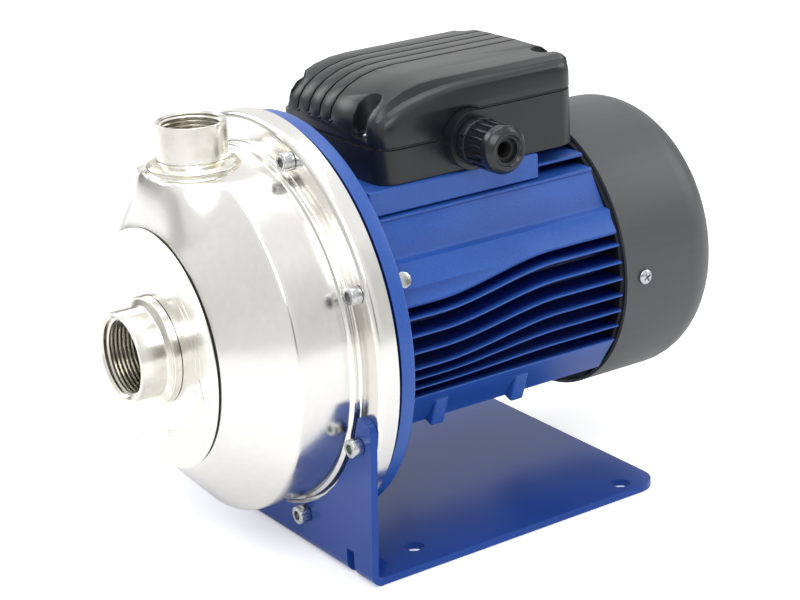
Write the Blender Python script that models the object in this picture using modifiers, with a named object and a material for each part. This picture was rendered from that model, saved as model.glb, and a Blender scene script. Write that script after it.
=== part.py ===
"""Close-coupled surface pump: a stainless centrifugal pump end on a finned electric motor.

The pump stands on a bent steel bracket. Sizes are in millimetres and become metres when a mesh
is made. Stations are measured along the shaft from the bead where the casing meets its flange:
negative towards the suction port, positive towards the fan. Heights are measured from the shaft.
The world origin is at the middle of the foot's underside.
"""
import math

import bmesh
import bpy
from mathutils import Matrix, Vector

MM = 0.001

# Clearances
GAP = 0.3
RUNNING_GAP = 0.4

# Casing
SHELL = 1.5
CASING_RADIUS = 95.4
FLANGE_FACE = 2.5
FLANGE_WIDTH = 17.6
FLANGE_DEPTH = 11.5
FLANGE_BEND = 4.5
RIM_BEND = 3.5
DOME_STATION = -32.4
DOME_BEND = 14.0
NOSE_STATION = -60.5
NOSE_RADIUS = 64.3
NOSE_BEND = 4.0
NOSE_LIP = 10.0

# Suction and discharge sockets
SUCTION_REACH = 22.5
SUCTION_RADIUS = 24.0
SUCTION_BORE = 20.95
SUCTION_COLLAR = 28.5
SUCTION_COLLAR_DEPTH = 4.0
SUCTION_NECK = 4.5
DISCHARGE_STATION = -31.5
DISCHARGE_HEIGHT = 116.8
DISCHARGE_RADIUS = 18.5
DISCHARGE_BORE = 16.6
DISCHARGE_COLLAR = 25.0
DISCHARGE_FLARE = 6.0
DISCHARGE_SEAT_DROP = 4.0

# Plugs
PLUG_STATION = -22.0
PLUG_RADIUS = 6.6
PLUG_ACROSS_FLATS = 13.0
PLUG_HEAD = 6.0
PLUG_FLANGE = 9.0
PLUG_FLANGE_THICKNESS = 2.0
PLUG_SEAL = 0.8
PLUG_DEPTH = 3.5
FILL_PLUG_ANGLE = 45.0
DRAIN_PLUG_ANGLE = 150.0

# Flange screws
SCREW_COUNT = 8
SCREW_OFFSET = 9.6
SCREW_RADIUS = 3.0
SCREW_HEAD_RADIUS = 4.9
SCREW_HEAD = 6.0
SCREW_GRIP = 14.0
SCREW_EDGE = 2.0
SCREW_TIP_ROOM = 1.0

# Seal housing and shaft seal
HOUSING_WALL = 2.0
HOUSING_FACE = -20.0
SEAL_CHAMBER_RADIUS = 25.0
SEAL_CHAMBER_DEPTH = 26.0
SEAL_HEAD_RADIUS = 12.0
SEAL_HEAD_LENGTH = 6.0
SEAT_RADIUS = 13.0
SEAT_LENGTH = 7.5
SPRING_WIRE = 0.8
SPRING_RADIUS = 9.6
SPRING_TURNS = 3.5

# Impeller
IMPELLER_RADIUS = 66.0
IMPELLER_EYE = 22.0
IMPELLER_EYE_LENGTH = 6.5
IMPELLER_BACK = -24.0
IMPELLER_SHEET = 2.0
IMPELLER_OUTLET = 8.0
IMPELLER_INLET = 20.0
IMPELLER_HUB = 12.0
IMPELLER_HUB_LENGTH = 16.0
VANE_COUNT = 6
VANE_THICKNESS = 2.0
VANE_ANGLE = 27.0
WEAR_RING_WALL = 3.5
NUT_ACROSS_FLATS = 13.0
NUT_LENGTH = 7.0

# Shaft and bearings
SHAFT_THREAD = 4.0
SHAFT_NOSE = 6.0
SHAFT_SEAL = 7.0
SHAFT_BEARING = 8.5
SHAFT_BODY = 12.0
SHAFT_FAN = 6.0
BEARING_RADIUS = 20.0
BEARING_WIDTH = 12.0
BALL_RADIUS = 3.0
BALL_ROOM = 0.7
BALL_COUNT = 7
CAGE_WIDTH = 3.6
CAGE_WALL = 1.4
FRONT_BEARING = 14.0
REAR_BEARING = 163.0
WASHER_ROOM = 2.0

# Motor adapter
ADAPTER_STEP = 3.0
ADAPTER_RIM_ROOM = 2.0
ADAPTER_BAND_FRONT = 15.2
ADAPTER_BACK = 26.0
ADAPTER_WEB = 8.0
ADAPTER_HUB_WALL = 6.0

# Motor
FRAME_BACK = 184.0
FRAME_RADIUS = 80.0
FRAME_BORE = 60.0
FRAME_WALL = 4.0
FRAME_SPIGOT = 5.0
FIN_PITCH = 9.4
FIN_TOP = 20.6
FIN_COUNT = 7
FIN_THICKNESS = 1.8
FIN_WAVE_START = 62.0
FIN_WAVE_END = 142.0
FIN_WAVE_FADE_TOP = -8.0
FIN_WAVE_FADE_LOW = -36.0
SKIRT_LOW = -56.0
KEEL_LOW = -64.5
SKIRT_BOSS_STATIONS = (80.0, 133.0)
SKIRT_BOSS_WIDTH = 8.0
SKIRT_BOSS_HEIGHT = 14.0
SKIRT_BOSS_DEPTH = 8.0
SKIRT_BOSS_PROUD = 1.5
EARTH_STATION = 44.0
EARTH_SCREW_RADIUS = 2.5
PAD_TOP = 39.6
PAD_TOP_HALF_WIDTH = 64.5
PAD_EDGE = 28.1
CREST_HALF_WIDTH = 31.0
CREST_RIBS = (72.0, 65.3, 58.6)
CREST_RIB_THICKNESS = 2.6
RIB_TAPER = 0.8
PLATFORM_HALF_WIDTH = 53.0
PLATFORM_TOP = 74.5
PLATFORM_LOW = 60.6
PLATFORM_FRONT = 40.0
PLATFORM_BACK = 149.0
STATOR_FRONT = 52.0
STATOR_LENGTH = 80.0
STATOR_BORE = 32.0
SLOT_COUNT = 24
SLOT_DEPTH = 14.0
SLOT_SHARE = 0.5
WINDING_LENGTH = 17.0
WINDING_INNER = 36.0
WINDING_OUTER = 56.0
ROTOR_END_RING = 8.0
ROTOR_END_RADIUS = 28.0

# Rear end shield, fan and fan cover
SHIELD_RADIUS = 77.9
SHIELD_RIM = 8.0
SHIELD_WEB = 7.0
SHIELD_HUB_WALL = 5.0
FAN_COVER_WALL = 2.0
FAN_COVER_FRONT = 187.0
FAN_COVER_BACK = 260.0
FAN_COVER_SHOULDER = 26.0
FAN_SCREW_STATION = 199.0
FAN_SCREW_COUNT = 3
FAN_SCREW_RADIUS = 2.0
FAN_SCREW_HEAD_RADIUS = 4.2
FAN_SCREW_HEAD = 2.2
FAN_SCREW_LENGTH = 9.0
LUG_WIDTH = 14.0
LUG_DEPTH = 12.0
FAN_STATION = 197.0
FAN_RADIUS = 62.0
FAN_HUB_RADIUS = 13.0
FAN_HUB_LENGTH = 15.0
FAN_BLADE_COUNT = 9
FAN_BLADE_LENGTH = 24.0
FAN_BLADE_THICKNESS = 2.0
FAN_DISC = 36.0
CLIP_THICKNESS = 1.2
GRILLE_RINGS = 2
GRILLE_SPOKES = 6
GRILLE_SLOT = 9.0
GRILLE_BAR = 5.0
GRILLE_CENTRE = 12.0

# Terminal box
BOX_FRONT = 50.0
BOX_LENGTH = 128.0
BOX_HALF_WIDTH = 51.0
BOX_WALL = 2.5
BOX_FLOOR = 74.8
BOX_LOW_SPLIT = 93.0
BOX_HIGH_SPLIT = 105.0
BOX_SPLIT_RAMP = 20.0
BOX_TOP = 124.8
BOX_CORNER = 11.0
GASKET_THICKNESS = 1.0
COVER_LIP = 102.7
COVER_CROWN = 1.0
COVER_NOSE = 40.5
COVER_SHOULDER_NOSE = 60.0
COVER_DECK_INSET = 8.0
COVER_COVE_WIDTH = 1.6
COVER_SHOULDER_DROP = 3.6
COVER_SHOULDER_ROUND = 4.5
COVER_BACK_ROUND = 6.0
GROOVES = (29.4, 18.6, 7.8, -3.0)
GROOVE_WIDTH = 1.4
GROOVE_DEPTH = 1.0
BOX_SCREW_INSET = 6.5
BOX_SCREW_NEAR_INSET = 20.4
BOX_SCREW_FAR_INSET = 8.0
BOX_SCREW_RADIUS = 2.0
BOX_SCREW_HEAD_RADIUS = 4.0
BOX_SCREW_HEAD = 2.4
BOX_SCREW_POCKET = 7.4
BOX_SCREW_POCKET_WALL = 1.6
BOX_SCREW_FLOOR = 4.4
BOX_SCREW_LENGTH = 12.0
BOX_BOSS_RADIUS = 5.0
BOARD_SIZE = (30.0, 34.0, 8.0)
BOARD_STATION = 92.5
BOARD_SIDE = -18.0
STUD_RADIUS = 2.2
STUD_LENGTH = 7.0
CAPACITOR_RADIUS = 16.0
CAPACITOR_LENGTH = 70.0
CAPACITOR_SIDE = 22.0
CAPACITOR_INSET = 17.0
CABLE_HOLE = 11.0
CABLE_HOLE_SIDE = -13.0

# Cable gland
GLAND_STATION = 104.0
GLAND_HEIGHT = 91.7
GLAND_BOSS_RADIUS = 16.0
GLAND_BOSS_LENGTH = 8.0
GLAND_BOSS_ROOT = 0.9
GLAND_THREAD = 8.0
GLAND_BODY_RADIUS = 12.4
GLAND_BODY_LENGTH = 5.6
GLAND_NUT_RADIUS = 13.0
GLAND_NUT_LENGTH = 23.0
GLAND_NECK_WALL = 2.0
GLAND_SEAL_WALL = 2.2
GLAND_SEAL_LENGTH = 12.0
GLAND_HOLE = 4.4

# Bracket
SHEET = 4.0
SHEET_BEND = 3.0
RIM_CLEARANCE = 1.5
FOOT_BACK = 195.0
FOOT_FRONT_HALF_WIDTH = 101.5
FOOT_BACK_HALF_WIDTH = 97.0
FOOT_CORNER = 14.0
PLATE_TOP = -25.0
PLATE_MARGIN = 3.5
PLATE_CORNER = 6.0
PLATE_CUT_CLEARANCE = 4.4
FOOT_HOLES = ((39.0, 80.5), (174.0, 87.0))
FOOT_HOLE_RADIUS = 5.5
GUSSET_SIDE = 82.0
GUSSET_WIDTH = 11.0
GUSSET_LEG = 15.0

# Derived stations, heights and radii
FLANGE_RADIUS = CASING_RADIUS + FLANGE_WIDTH
SHAFT_HEIGHT = FLANGE_RADIUS + RIM_CLEARANCE + SHEET
SCREW_CIRCLE = CASING_RADIUS + SCREW_OFFSET
PLATE_TOP_HALF_WIDTH = SCREW_CIRCLE + PLATE_MARGIN
ADAPTER_SPIGOT = FLANGE_RADIUS - SHELL - ADAPTER_RIM_ROOM
ADAPTER_RADIUS = FLANGE_RADIUS - ADAPTER_STEP
DISCHARGE_SEAT = CASING_RADIUS - DISCHARGE_SEAT_DROP
PLATE_BACK = FLANGE_FACE - GAP
PLATE_FRONT = PLATE_BACK - SHEET
FOOT_MIDDLE = (PLATE_FRONT + FOOT_BACK) / 2
HOUSING_FLANGE = FLANGE_FACE + SHELL + GAP
ADAPTER_FRONT = HOUSING_FLANGE + HOUSING_WALL + GAP
FRAME_FRONT = ADAPTER_BACK + GAP
SHIELD_FACE = FRAME_BACK + GAP
STATOR_BACK = STATOR_FRONT + STATOR_LENGTH
HOUSING_SPIGOT = CASING_RADIUS - SHELL - 1.0
HOUSING_RADIUS = SCREW_CIRCLE - SCREW_RADIUS - SCREW_EDGE
SEAL_CHAMBER_BACK = HOUSING_FACE + SEAL_CHAMBER_DEPTH
PLATE_CUT = CASING_RADIUS + PLATE_CUT_CLEARANCE

# Facets of round shapes
LARGE_COUNT = 24
MEDIUM_COUNT = 16
SMALL_COUNT = 10
SCREW_SIDE_COUNT = 8
NOSE_FACET_COUNT = 6
WELD = 0.002
TIGHT_BEND = 6.0


def collection(name):
    made = bpy.data.collections.new(name)
    bpy.context.scene.collection.children.link(made)
    return made


def link(piece, where):
    where.objects.link(piece)
    return piece


def settle(piece):
    """Apply the piece's modifiers and shade its round faces smooth."""
    bpy.context.view_layer.update()
    graph = bpy.context.evaluated_depsgraph_get()
    mesh = bpy.data.meshes.new_from_object(piece.evaluated_get(graph))
    piece.modifiers.clear()
    mesh.name = piece.name
    piece.data = mesh
    mesh.shade_smooth()
    mesh.set_sharp_from_angle(angle=math.radians(38))
    return piece


def from_bmesh(name, shape):
    mesh = bpy.data.meshes.new(name)
    bmesh.ops.recalc_face_normals(shape, faces=shape.faces)
    if shape.calc_volume(signed=True) < 0:
        bmesh.ops.reverse_faces(shape, faces=shape.faces)
    shape.to_mesh(mesh)
    shape.free()
    return link(bpy.data.objects.new(name, mesh), PIECES)


def rounded(corners, facets=4, closed=False, even=False):
    """Turn (u, v, radius) corners into points, with each radius drawn as an arc.

    A tight bend gets half as many facets as a wide one, unless all are to be even.
    """
    points = []
    count = len(corners)
    for index, (u, v, radius) in enumerate(corners):
        here = Vector((u, v))
        is_end = not closed and index in (0, count - 1)
        if radius <= 0 or is_end:
            points.append((u, v))
            continue
        before = (Vector(corners[index - 1][:2]) - here).normalized()
        after = (Vector(corners[(index + 1) % count][:2]) - here).normalized()
        half = before.angle(after) / 2
        centre = here + (before + after).normalized() * radius / math.sin(half)
        start = here + before * radius / math.tan(half) - centre
        sweep = start.angle_signed(here + after * radius / math.tan(half) - centre)
        parts = facets if even or radius >= TIGHT_BEND else (facets + 1) // 2
        for step in range(parts + 1):
            turn = -sweep * step / parts
            arm = Matrix.Rotation(turn, 2) @ start
            points.append(tuple(centre + arm))
    return points


def offset(points, distance):
    """Shift an open line sideways, to the right of its direction, with mitred corners."""
    moved = []
    for index, point in enumerate(points):
        sides = []
        if index > 0:
            sides.append(Vector(point) - Vector(points[index - 1]))
        if index < len(points) - 1:
            sides.append(Vector(points[index + 1]) - Vector(point))
        normals = [Vector((side.y, -side.x)).normalized() for side in sides]
        mean = sum(normals, Vector((0, 0))).normalized()
        moved.append(tuple(Vector(point) + mean * distance / mean.dot(normals[0])))
    return moved


def walled(corners, wall, facets=2):
    """Closed profile of a sheet whose outer face follows the corners."""
    outer = rounded(corners, facets)
    return outer + offset(outer, wall)[::-1]


def turned(name, profile, steps):
    """Turn a profile of (station, radius) points round the shaft line."""
    ahead = profile[1:] + profile[:1]
    area = sum(a[0] * b[1] - b[0] * a[1] for a, b in zip(profile, ahead))
    if area < 0:
        profile = profile[::-1]
    starts_on_axis = abs(profile[0][1]) < 1e-6 and abs(profile[-1][1]) < 1e-6
    count = len(profile)
    edges = [(i, (i + 1) % count) for i in range(count - 1 if starts_on_axis else count)]
    mesh = bpy.data.meshes.new(name)
    mesh.from_pydata([(x * MM, 0.0, r * MM) for x, r in profile], edges, [])
    piece = link(bpy.data.objects.new(name, mesh), PIECES)
    screw = piece.modifiers.new("turn", "SCREW")
    screw.axis = "X"
    screw.steps = screw.render_steps = round(steps)
    screw.use_merge_vertices = True
    screw.merge_threshold = 0.00001
    return settle(piece)


def extruded(name, loops, low, high, along):
    """Extrude flat closed loops from low to high: the inner loops are holes."""
    curve = bpy.data.curves.new(name, "CURVE")
    curve.dimensions = "2D"
    curve.fill_mode = "BOTH"
    curve.extrude = (high - low) / 2 * MM
    for loop in loops:
        spline = curve.splines.new("POLY")
        spline.points.add(len(loop) - 1)
        spline.use_cyclic_u = True
        for point, (u, v) in zip(spline.points, loop):
            point.co = (u * MM, v * MM, 0.0, 1.0)
    drawn = link(bpy.data.objects.new(name, curve), PIECES)
    bpy.context.view_layer.update()
    graph = bpy.context.evaluated_depsgraph_get()
    mesh = bpy.data.meshes.new_from_object(drawn.evaluated_get(graph))
    bpy.data.objects.remove(drawn)
    shape = bmesh.new()
    shape.from_mesh(mesh)
    bmesh.ops.remove_doubles(shape, verts=shape.verts, dist=0.000001)
    turns = {
        "X": Matrix(((0, 0, 1), (1, 0, 0), (0, 1, 0))),
        "Y": Matrix(((1, 0, 0), (0, 0, 1), (0, 1, 0))),
        "Z": Matrix.Identity(3),
    }
    middle = Vector((0, 0, (low + high) / 2 * MM))
    for vertex in shape.verts:
        vertex.co = turns[along] @ (vertex.co + middle)
    return from_bmesh(name, shape)


def lofted(name, layers):
    """A body through closed outlines that all have the same number of points."""
    shape = bmesh.new()
    rings = [[shape.verts.new(Vector(point) * MM) for point in layer] for layer in layers]
    for near, far in zip(rings, rings[1:]):
        for i in range(len(near)):
            j = (i + 1) % len(near)
            shape.faces.new((near[i], near[j], far[j], far[i]))
    shape.faces.new(rings[0])
    shape.faces.new(rings[-1])
    return from_bmesh(name, shape)


def block(name, low, high):
    """A box between two corners."""
    shape = bmesh.new()
    size = [(b - a) * MM for a, b in zip(low, high)]
    middle = [(a + b) / 2 * MM for a, b in zip(low, high)]
    place = Matrix.Translation(middle) @ Matrix.Diagonal((*size, 1.0))
    bmesh.ops.create_cube(shape, size=1.0, matrix=place)
    return from_bmesh(name, shape)


def rods(name, ends, radius, sides, tip_radius=None):
    """Round or prismatic bars, each between two end points."""
    shape = bmesh.new()
    for start, end in ends:
        start, end = Vector(start) * MM, Vector(end) * MM
        along = end - start
        place = Matrix.Translation((start + end) / 2) @ along.to_track_quat("Z", "Y").to_matrix().to_4x4()
        bmesh.ops.create_cone(
            shape, cap_ends=True, segments=round(sides), radius1=radius * MM,
            radius2=(radius if tip_radius is None else tip_radius) * MM,
            depth=along.length, matrix=place)
    return from_bmesh(name, shape)


def combine(piece, tool, operation):
    change = piece.modifiers.new("shape", "BOOLEAN")
    change.operation = operation
    change.solver = "EXACT"
    change.object = tool
    weld = piece.modifiers.new("weld", "WELD")
    weld.merge_threshold = WELD * MM
    settle(piece)
    bpy.data.objects.remove(tool)
    return piece


def cut(piece, tool):
    return combine(piece, tool, "DIFFERENCE")


def add(piece, tool):
    return combine(piece, tool, "UNION")


def polar(radius, degrees):
    """Side and height of a point round the shaft, turned from straight up towards +Y."""
    angle = math.radians(degrees)
    return radius * math.sin(angle), radius * math.cos(angle)


def circle(radius, sides, centre=(0.0, 0.0), phase=0.0):
    points = []
    sides = round(sides)
    for step in range(sides):
        angle = 2 * math.pi * (step + phase) / sides
        points.append((centre[0] + radius * math.cos(angle), centre[1] + radius * math.sin(angle)))
    return points


def paint(piece, colour, roughness, metallic=0.0):
    material = bpy.data.materials.new(piece.name)
    material.use_nodes = True
    shader = material.node_tree.nodes["Principled BSDF"]
    shader.inputs["Base Color"].default_value = (*colour, 1.0)
    shader.inputs["Roughness"].default_value = roughness
    shader.inputs["Metallic"].default_value = metallic
    piece.data.materials.clear()
    piece.data.materials.append(material)
    return piece


def stainless(piece):
    return paint(piece, (0.62, 0.60, 0.56), 0.22, 1.0)


def steel(piece):
    return paint(piece, (0.48, 0.48, 0.49), 0.35, 1.0)


def blue_paint(piece):
    return paint(piece, (0.025, 0.085, 0.42), 0.38)


def black_plastic(piece):
    return paint(piece, (0.045, 0.052, 0.055), 0.48)


def grey_plastic(piece):
    return paint(piece, (0.10, 0.10, 0.105), 0.55)


def rubber(piece):
    return paint(piece, (0.02, 0.02, 0.02), 0.7)


def copper(piece):
    return paint(piece, (0.45, 0.16, 0.05), 0.4, 0.8)


def screw_angles():
    return [360.0 * (index + 0.5) / SCREW_COUNT for index in range(SCREW_COUNT)]


def is_bracket_screw(degrees):
    return polar(SCREW_CIRCLE, degrees)[1] < PLATE_TOP


def flange_holes(name, front, back, clearance):
    ends = []
    for degrees in screw_angles():
        side, height = polar(SCREW_CIRCLE, degrees)
        ends.append(((front, side, height), (back, side, height)))
    return rods(name, ends, SCREW_RADIUS + clearance, SCREW_SIDE_COUNT)


# Casing: deep-drawn stainless bowl with a rim that wraps the adapter
def on_casing(degrees, distance):
    """A point on a plug's axis, at a distance from the casing's side."""
    return (PLUG_STATION, *polar(CASING_RADIUS + distance, degrees))


def casing_path():
    return [
        (NOSE_STATION, NOSE_RADIUS - NOSE_LIP, 0),
        (NOSE_STATION, NOSE_RADIUS, NOSE_BEND),
        (DOME_STATION, CASING_RADIUS, DOME_BEND),
        (FLANGE_FACE, CASING_RADIUS, FLANGE_BEND),
        (FLANGE_FACE, FLANGE_RADIUS, RIM_BEND),
        (FLANGE_FACE + FLANGE_DEPTH, FLANGE_RADIUS, 0),
    ]


def make_casing():
    casing = turned("casing", walled(casing_path(), SHELL), LARGE_COUNT)
    cut(casing, flange_holes("holes", FLANGE_FACE - 5, FLANGE_FACE + SHELL + 5, GAP))
    outlet = [((DISCHARGE_STATION, 0, 0), (DISCHARGE_STATION, 0, DISCHARGE_HEIGHT))]
    cut(casing, rods("outlet", outlet, DISCHARGE_BORE - SHELL, MEDIUM_COUNT))
    reach = 2 * PLUG_DEPTH
    plugs = [(on_casing(a, -reach), on_casing(a, reach)) for a in (FILL_PLUG_ANGLE, DRAIN_PLUG_ANGLE)]
    cut(casing, rods("plug_holes", plugs, PLUG_RADIUS + GAP, SMALL_COUNT))
    return stainless(casing)


def make_suction_end():
    face = NOSE_STATION - GAP
    plate = [
        (face, SUCTION_RADIUS + GAP),
        (face, NOSE_RADIUS),
        (face - SHELL * 0.6, NOSE_RADIUS),
        (face - SHELL, NOSE_RADIUS - SHELL * 0.6),
        (face - SHELL, SUCTION_RADIUS + GAP),
    ]
    stainless(turned("suction_plate", plate, LARGE_COUNT))
    collar = face - SHELL - GAP
    rim = NOSE_STATION - SUCTION_REACH
    port = rounded([
        (rim, SUCTION_BORE, 0.8),
        (rim, SUCTION_RADIUS, 1.0),
        (collar - SUCTION_COLLAR_DEPTH, SUCTION_RADIUS, 1.5),
        (collar - SUCTION_COLLAR_DEPTH, SUCTION_COLLAR, 1.2),
        (collar, SUCTION_COLLAR, 0),
        (collar, SUCTION_RADIUS, 0),
        (NOSE_STATION + SUCTION_NECK, SUCTION_RADIUS, 0),
        (NOSE_STATION + SUCTION_NECK, SUCTION_BORE, 0),
    ], 2, closed=True)
    stainless(turned("suction_port", port, MEDIUM_COUNT + 4))


def make_discharge_port():
    top = DISCHARGE_HEIGHT
    root = NOSE_RADIUS
    shape = rounded([
        (top, DISCHARGE_BORE, 0.4),
        (top, DISCHARGE_RADIUS, 0.5),
        (DISCHARGE_SEAT + DISCHARGE_FLARE, DISCHARGE_RADIUS, 3.0),
        (DISCHARGE_SEAT, DISCHARGE_COLLAR, 0),
        (root, DISCHARGE_COLLAR, 0),
        (root, DISCHARGE_BORE, 0),
    ], 2, closed=True)
    port = turned("discharge_port", shape, MEDIUM_COUNT + 4)
    port.location = (DISCHARGE_STATION * MM, 0, 0)
    port.rotation_euler = (0, -math.pi / 2, 0)
    outside = offset(rounded(casing_path()[1:4]), -GAP)
    body = [(outside[0][0], 0.0), *outside, (outside[-1][0], 0.0)]
    cut(port, turned("bowl", body, LARGE_COUNT))
    return stainless(port)


def make_plug(name, degrees):
    seat = PLUG_SEAL
    top = seat + PLUG_FLANGE_THICKNESS
    hexagon = [(on_casing(degrees, seat), on_casing(degrees, top + PLUG_HEAD))]
    head = rods(name, hexagon, PLUG_ACROSS_FLATS / math.sqrt(3), 6)
    add(head, rods("flange", [(on_casing(degrees, seat), on_casing(degrees, top))], PLUG_FLANGE, LARGE_COUNT))
    shank = [(on_casing(degrees, -PLUG_DEPTH), on_casing(degrees, top - 0.5))]
    add(head, rods("shank", shank, PLUG_RADIUS, SMALL_COUNT))
    return stainless(head)


def make_casing_screws():
    for index, degrees in enumerate(screw_angles()):
        side, height = polar(SCREW_CIRCLE, degrees)
        seat = (PLATE_FRONT if is_bracket_screw(degrees) else FLANGE_FACE) - GAP
        tip = FLANGE_FACE + SHELL + SCREW_GRIP
        name = f"casing_screw_{index + 1}"
        shape = [
            (seat - SCREW_HEAD, 0.0),
            (seat - SCREW_HEAD, SCREW_HEAD_RADIUS),
            (seat, SCREW_HEAD_RADIUS),
            (seat, SCREW_RADIUS),
            (tip, SCREW_RADIUS),
            (tip, 0.0),
        ]
        screw = turned(name, shape, SCREW_SIDE_COUNT)
        screw.location = (0, side * MM, height * MM)
        steel(screw)


# Seal housing: pressed plate that closes the casing and holds the shaft seal
def make_seal_housing():
    path = [
        (SEAL_CHAMBER_BACK, SEAT_RADIUS + GAP, 0),
        (SEAL_CHAMBER_BACK, SEAL_CHAMBER_RADIUS, 3.0),
        (HOUSING_FACE, SEAL_CHAMBER_RADIUS, 0),
        (HOUSING_FACE, HOUSING_SPIGOT - 8, 0),
        (HOUSING_FACE + 8, HOUSING_SPIGOT, 0),
        (HOUSING_FLANGE, HOUSING_SPIGOT, 0),
        (HOUSING_FLANGE, HOUSING_RADIUS, 0),
    ]
    chamber = rounded(path[:2] + [(HOUSING_FACE, SEAL_CHAMBER_RADIUS, 0)], 1)
    chamber_back = offset(chamber, HOUSING_WALL)
    disc = rounded([(HOUSING_FACE, SEAL_CHAMBER_RADIUS, 0)] + path[3:], 1)
    disc_back = offset(disc, HOUSING_WALL)
    knee = (HOUSING_FACE + HOUSING_WALL, SEAL_CHAMBER_RADIUS + HOUSING_WALL)
    profile = chamber + disc[1:] + disc_back[1:][::-1] + [knee] + chamber_back[:-1][::-1]
    return stainless(turned("seal_housing", profile, LARGE_COUNT))


def make_casing_seal():
    """O-ring that fills the corner between the casing's bend, the housing's flange and its spigot."""
    bend = FLANGE_BEND + SHELL
    across = HOUSING_FLANGE - (FLANGE_FACE - FLANGE_BEND)
    up = CASING_RADIUS + FLANGE_BEND - HOUSING_SPIGOT
    half = across + up + bend
    room = half - math.sqrt(half * half - (across * across + up * up - bend * bend))
    cord = room - GAP
    centre = (HOUSING_FLANGE - room, HOUSING_SPIGOT + room)
    rubber(turned("casing_o_ring", circle(cord, 5, centre), LARGE_COUNT))


def make_shaft_seal():
    seat_front = SEAL_CHAMBER_BACK - 5.0
    seat = [
        (seat_front, SHAFT_SEAL + 1.2),
        (seat_front, SEAT_RADIUS),
        (seat_front + SEAT_LENGTH, SEAT_RADIUS),
        (seat_front + SEAT_LENGTH, SHAFT_SEAL + 1.2),
    ]
    paint(turned("seal_seat", seat, MEDIUM_COUNT), (0.8, 0.78, 0.72), 0.3)
    head_back = seat_front - GAP
    head_front = head_back - SEAL_HEAD_LENGTH
    head = [
        (head_front, SHAFT_SEAL + GAP),
        (head_front, SEAL_HEAD_RADIUS),
        (head_back - 1.5, SEAL_HEAD_RADIUS),
        (head_back - 1.5, SEAL_HEAD_RADIUS - 1.5),
        (head_back, SEAL_HEAD_RADIUS - 1.5),
        (head_back, SHAFT_SEAL + GAP),
    ]
    paint(turned("seal_head", head, MEDIUM_COUNT), (0.05, 0.05, 0.055), 0.4)
    start = IMPELLER_BACK + 2.0 + SPRING_WIRE + GAP
    end = head_front - SPRING_WIRE - GAP
    curve = bpy.data.curves.new("seal_spring", "CURVE")
    curve.dimensions = "3D"
    curve.bevel_depth = SPRING_WIRE * MM
    curve.bevel_resolution = 0
    curve.use_fill_caps = True
    spline = curve.splines.new("POLY")
    steps = int(SPRING_TURNS * 10)
    spline.points.add(steps)
    for index, point in enumerate(spline.points):
        share = index / steps
        angle = 2 * math.pi * SPRING_TURNS * share
        station = start + (end - start) * share
        side, height = SPRING_RADIUS * math.cos(angle), SPRING_RADIUS * math.sin(angle)
        point.co = (station * MM, side * MM, height * MM, 1.0)
    drawn = link(bpy.data.objects.new("wire", curve), PIECES)
    bpy.context.view_layer.update()
    mesh = bpy.data.meshes.new_from_object(drawn.evaluated_get(bpy.context.evaluated_depsgraph_get()))
    bpy.data.objects.remove(drawn)
    shape = bmesh.new()
    shape.from_mesh(mesh)
    bmesh.ops.remove_doubles(shape, verts=shape.verts, dist=0.000001)
    steel(from_bmesh("seal_spring", shape))
    hub_front = ADAPTER_FRONT + 5.0
    ring = [
        (hub_front - 2.6, SHAFT_SEAL + GAP),
        (hub_front - 2.6, SHAFT_SEAL + 4.0),
        (hub_front - 1.6, SHAFT_SEAL + 2.2),
        (hub_front - GAP, SHAFT_SEAL + 2.2),
        (hub_front - GAP, SHAFT_SEAL + GAP),
    ]
    rubber(turned("slinger_ring", ring, SMALL_COUNT + 4))


# Impeller: two pressed shrouds with backward-curved vanes between them
def front_shroud(radius):
    """Station of the front shroud's inner face at a radius."""
    eye = IMPELLER_EYE + IMPELLER_SHEET
    share = (radius - eye) / (IMPELLER_RADIUS - eye)
    width = IMPELLER_INLET + (IMPELLER_OUTLET - IMPELLER_INLET) * max(share, 0.0) ** 0.7
    return IMPELLER_BACK - IMPELLER_SHEET - width


def vane_side(shift):
    """One face of a vane: a spiral that crosses every radius at the same angle."""
    start = IMPELLER_EYE + 3.0
    points = []
    for step in range(5):
        radius = start + (IMPELLER_RADIUS - 0.5 - start) * step / 4
        angle = math.log(radius / start) / math.tan(math.radians(VANE_ANGLE))
        angle += shift / radius / math.sin(math.radians(VANE_ANGLE))
        points.append((radius * math.cos(angle), radius * math.sin(angle)))
    return points


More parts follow.
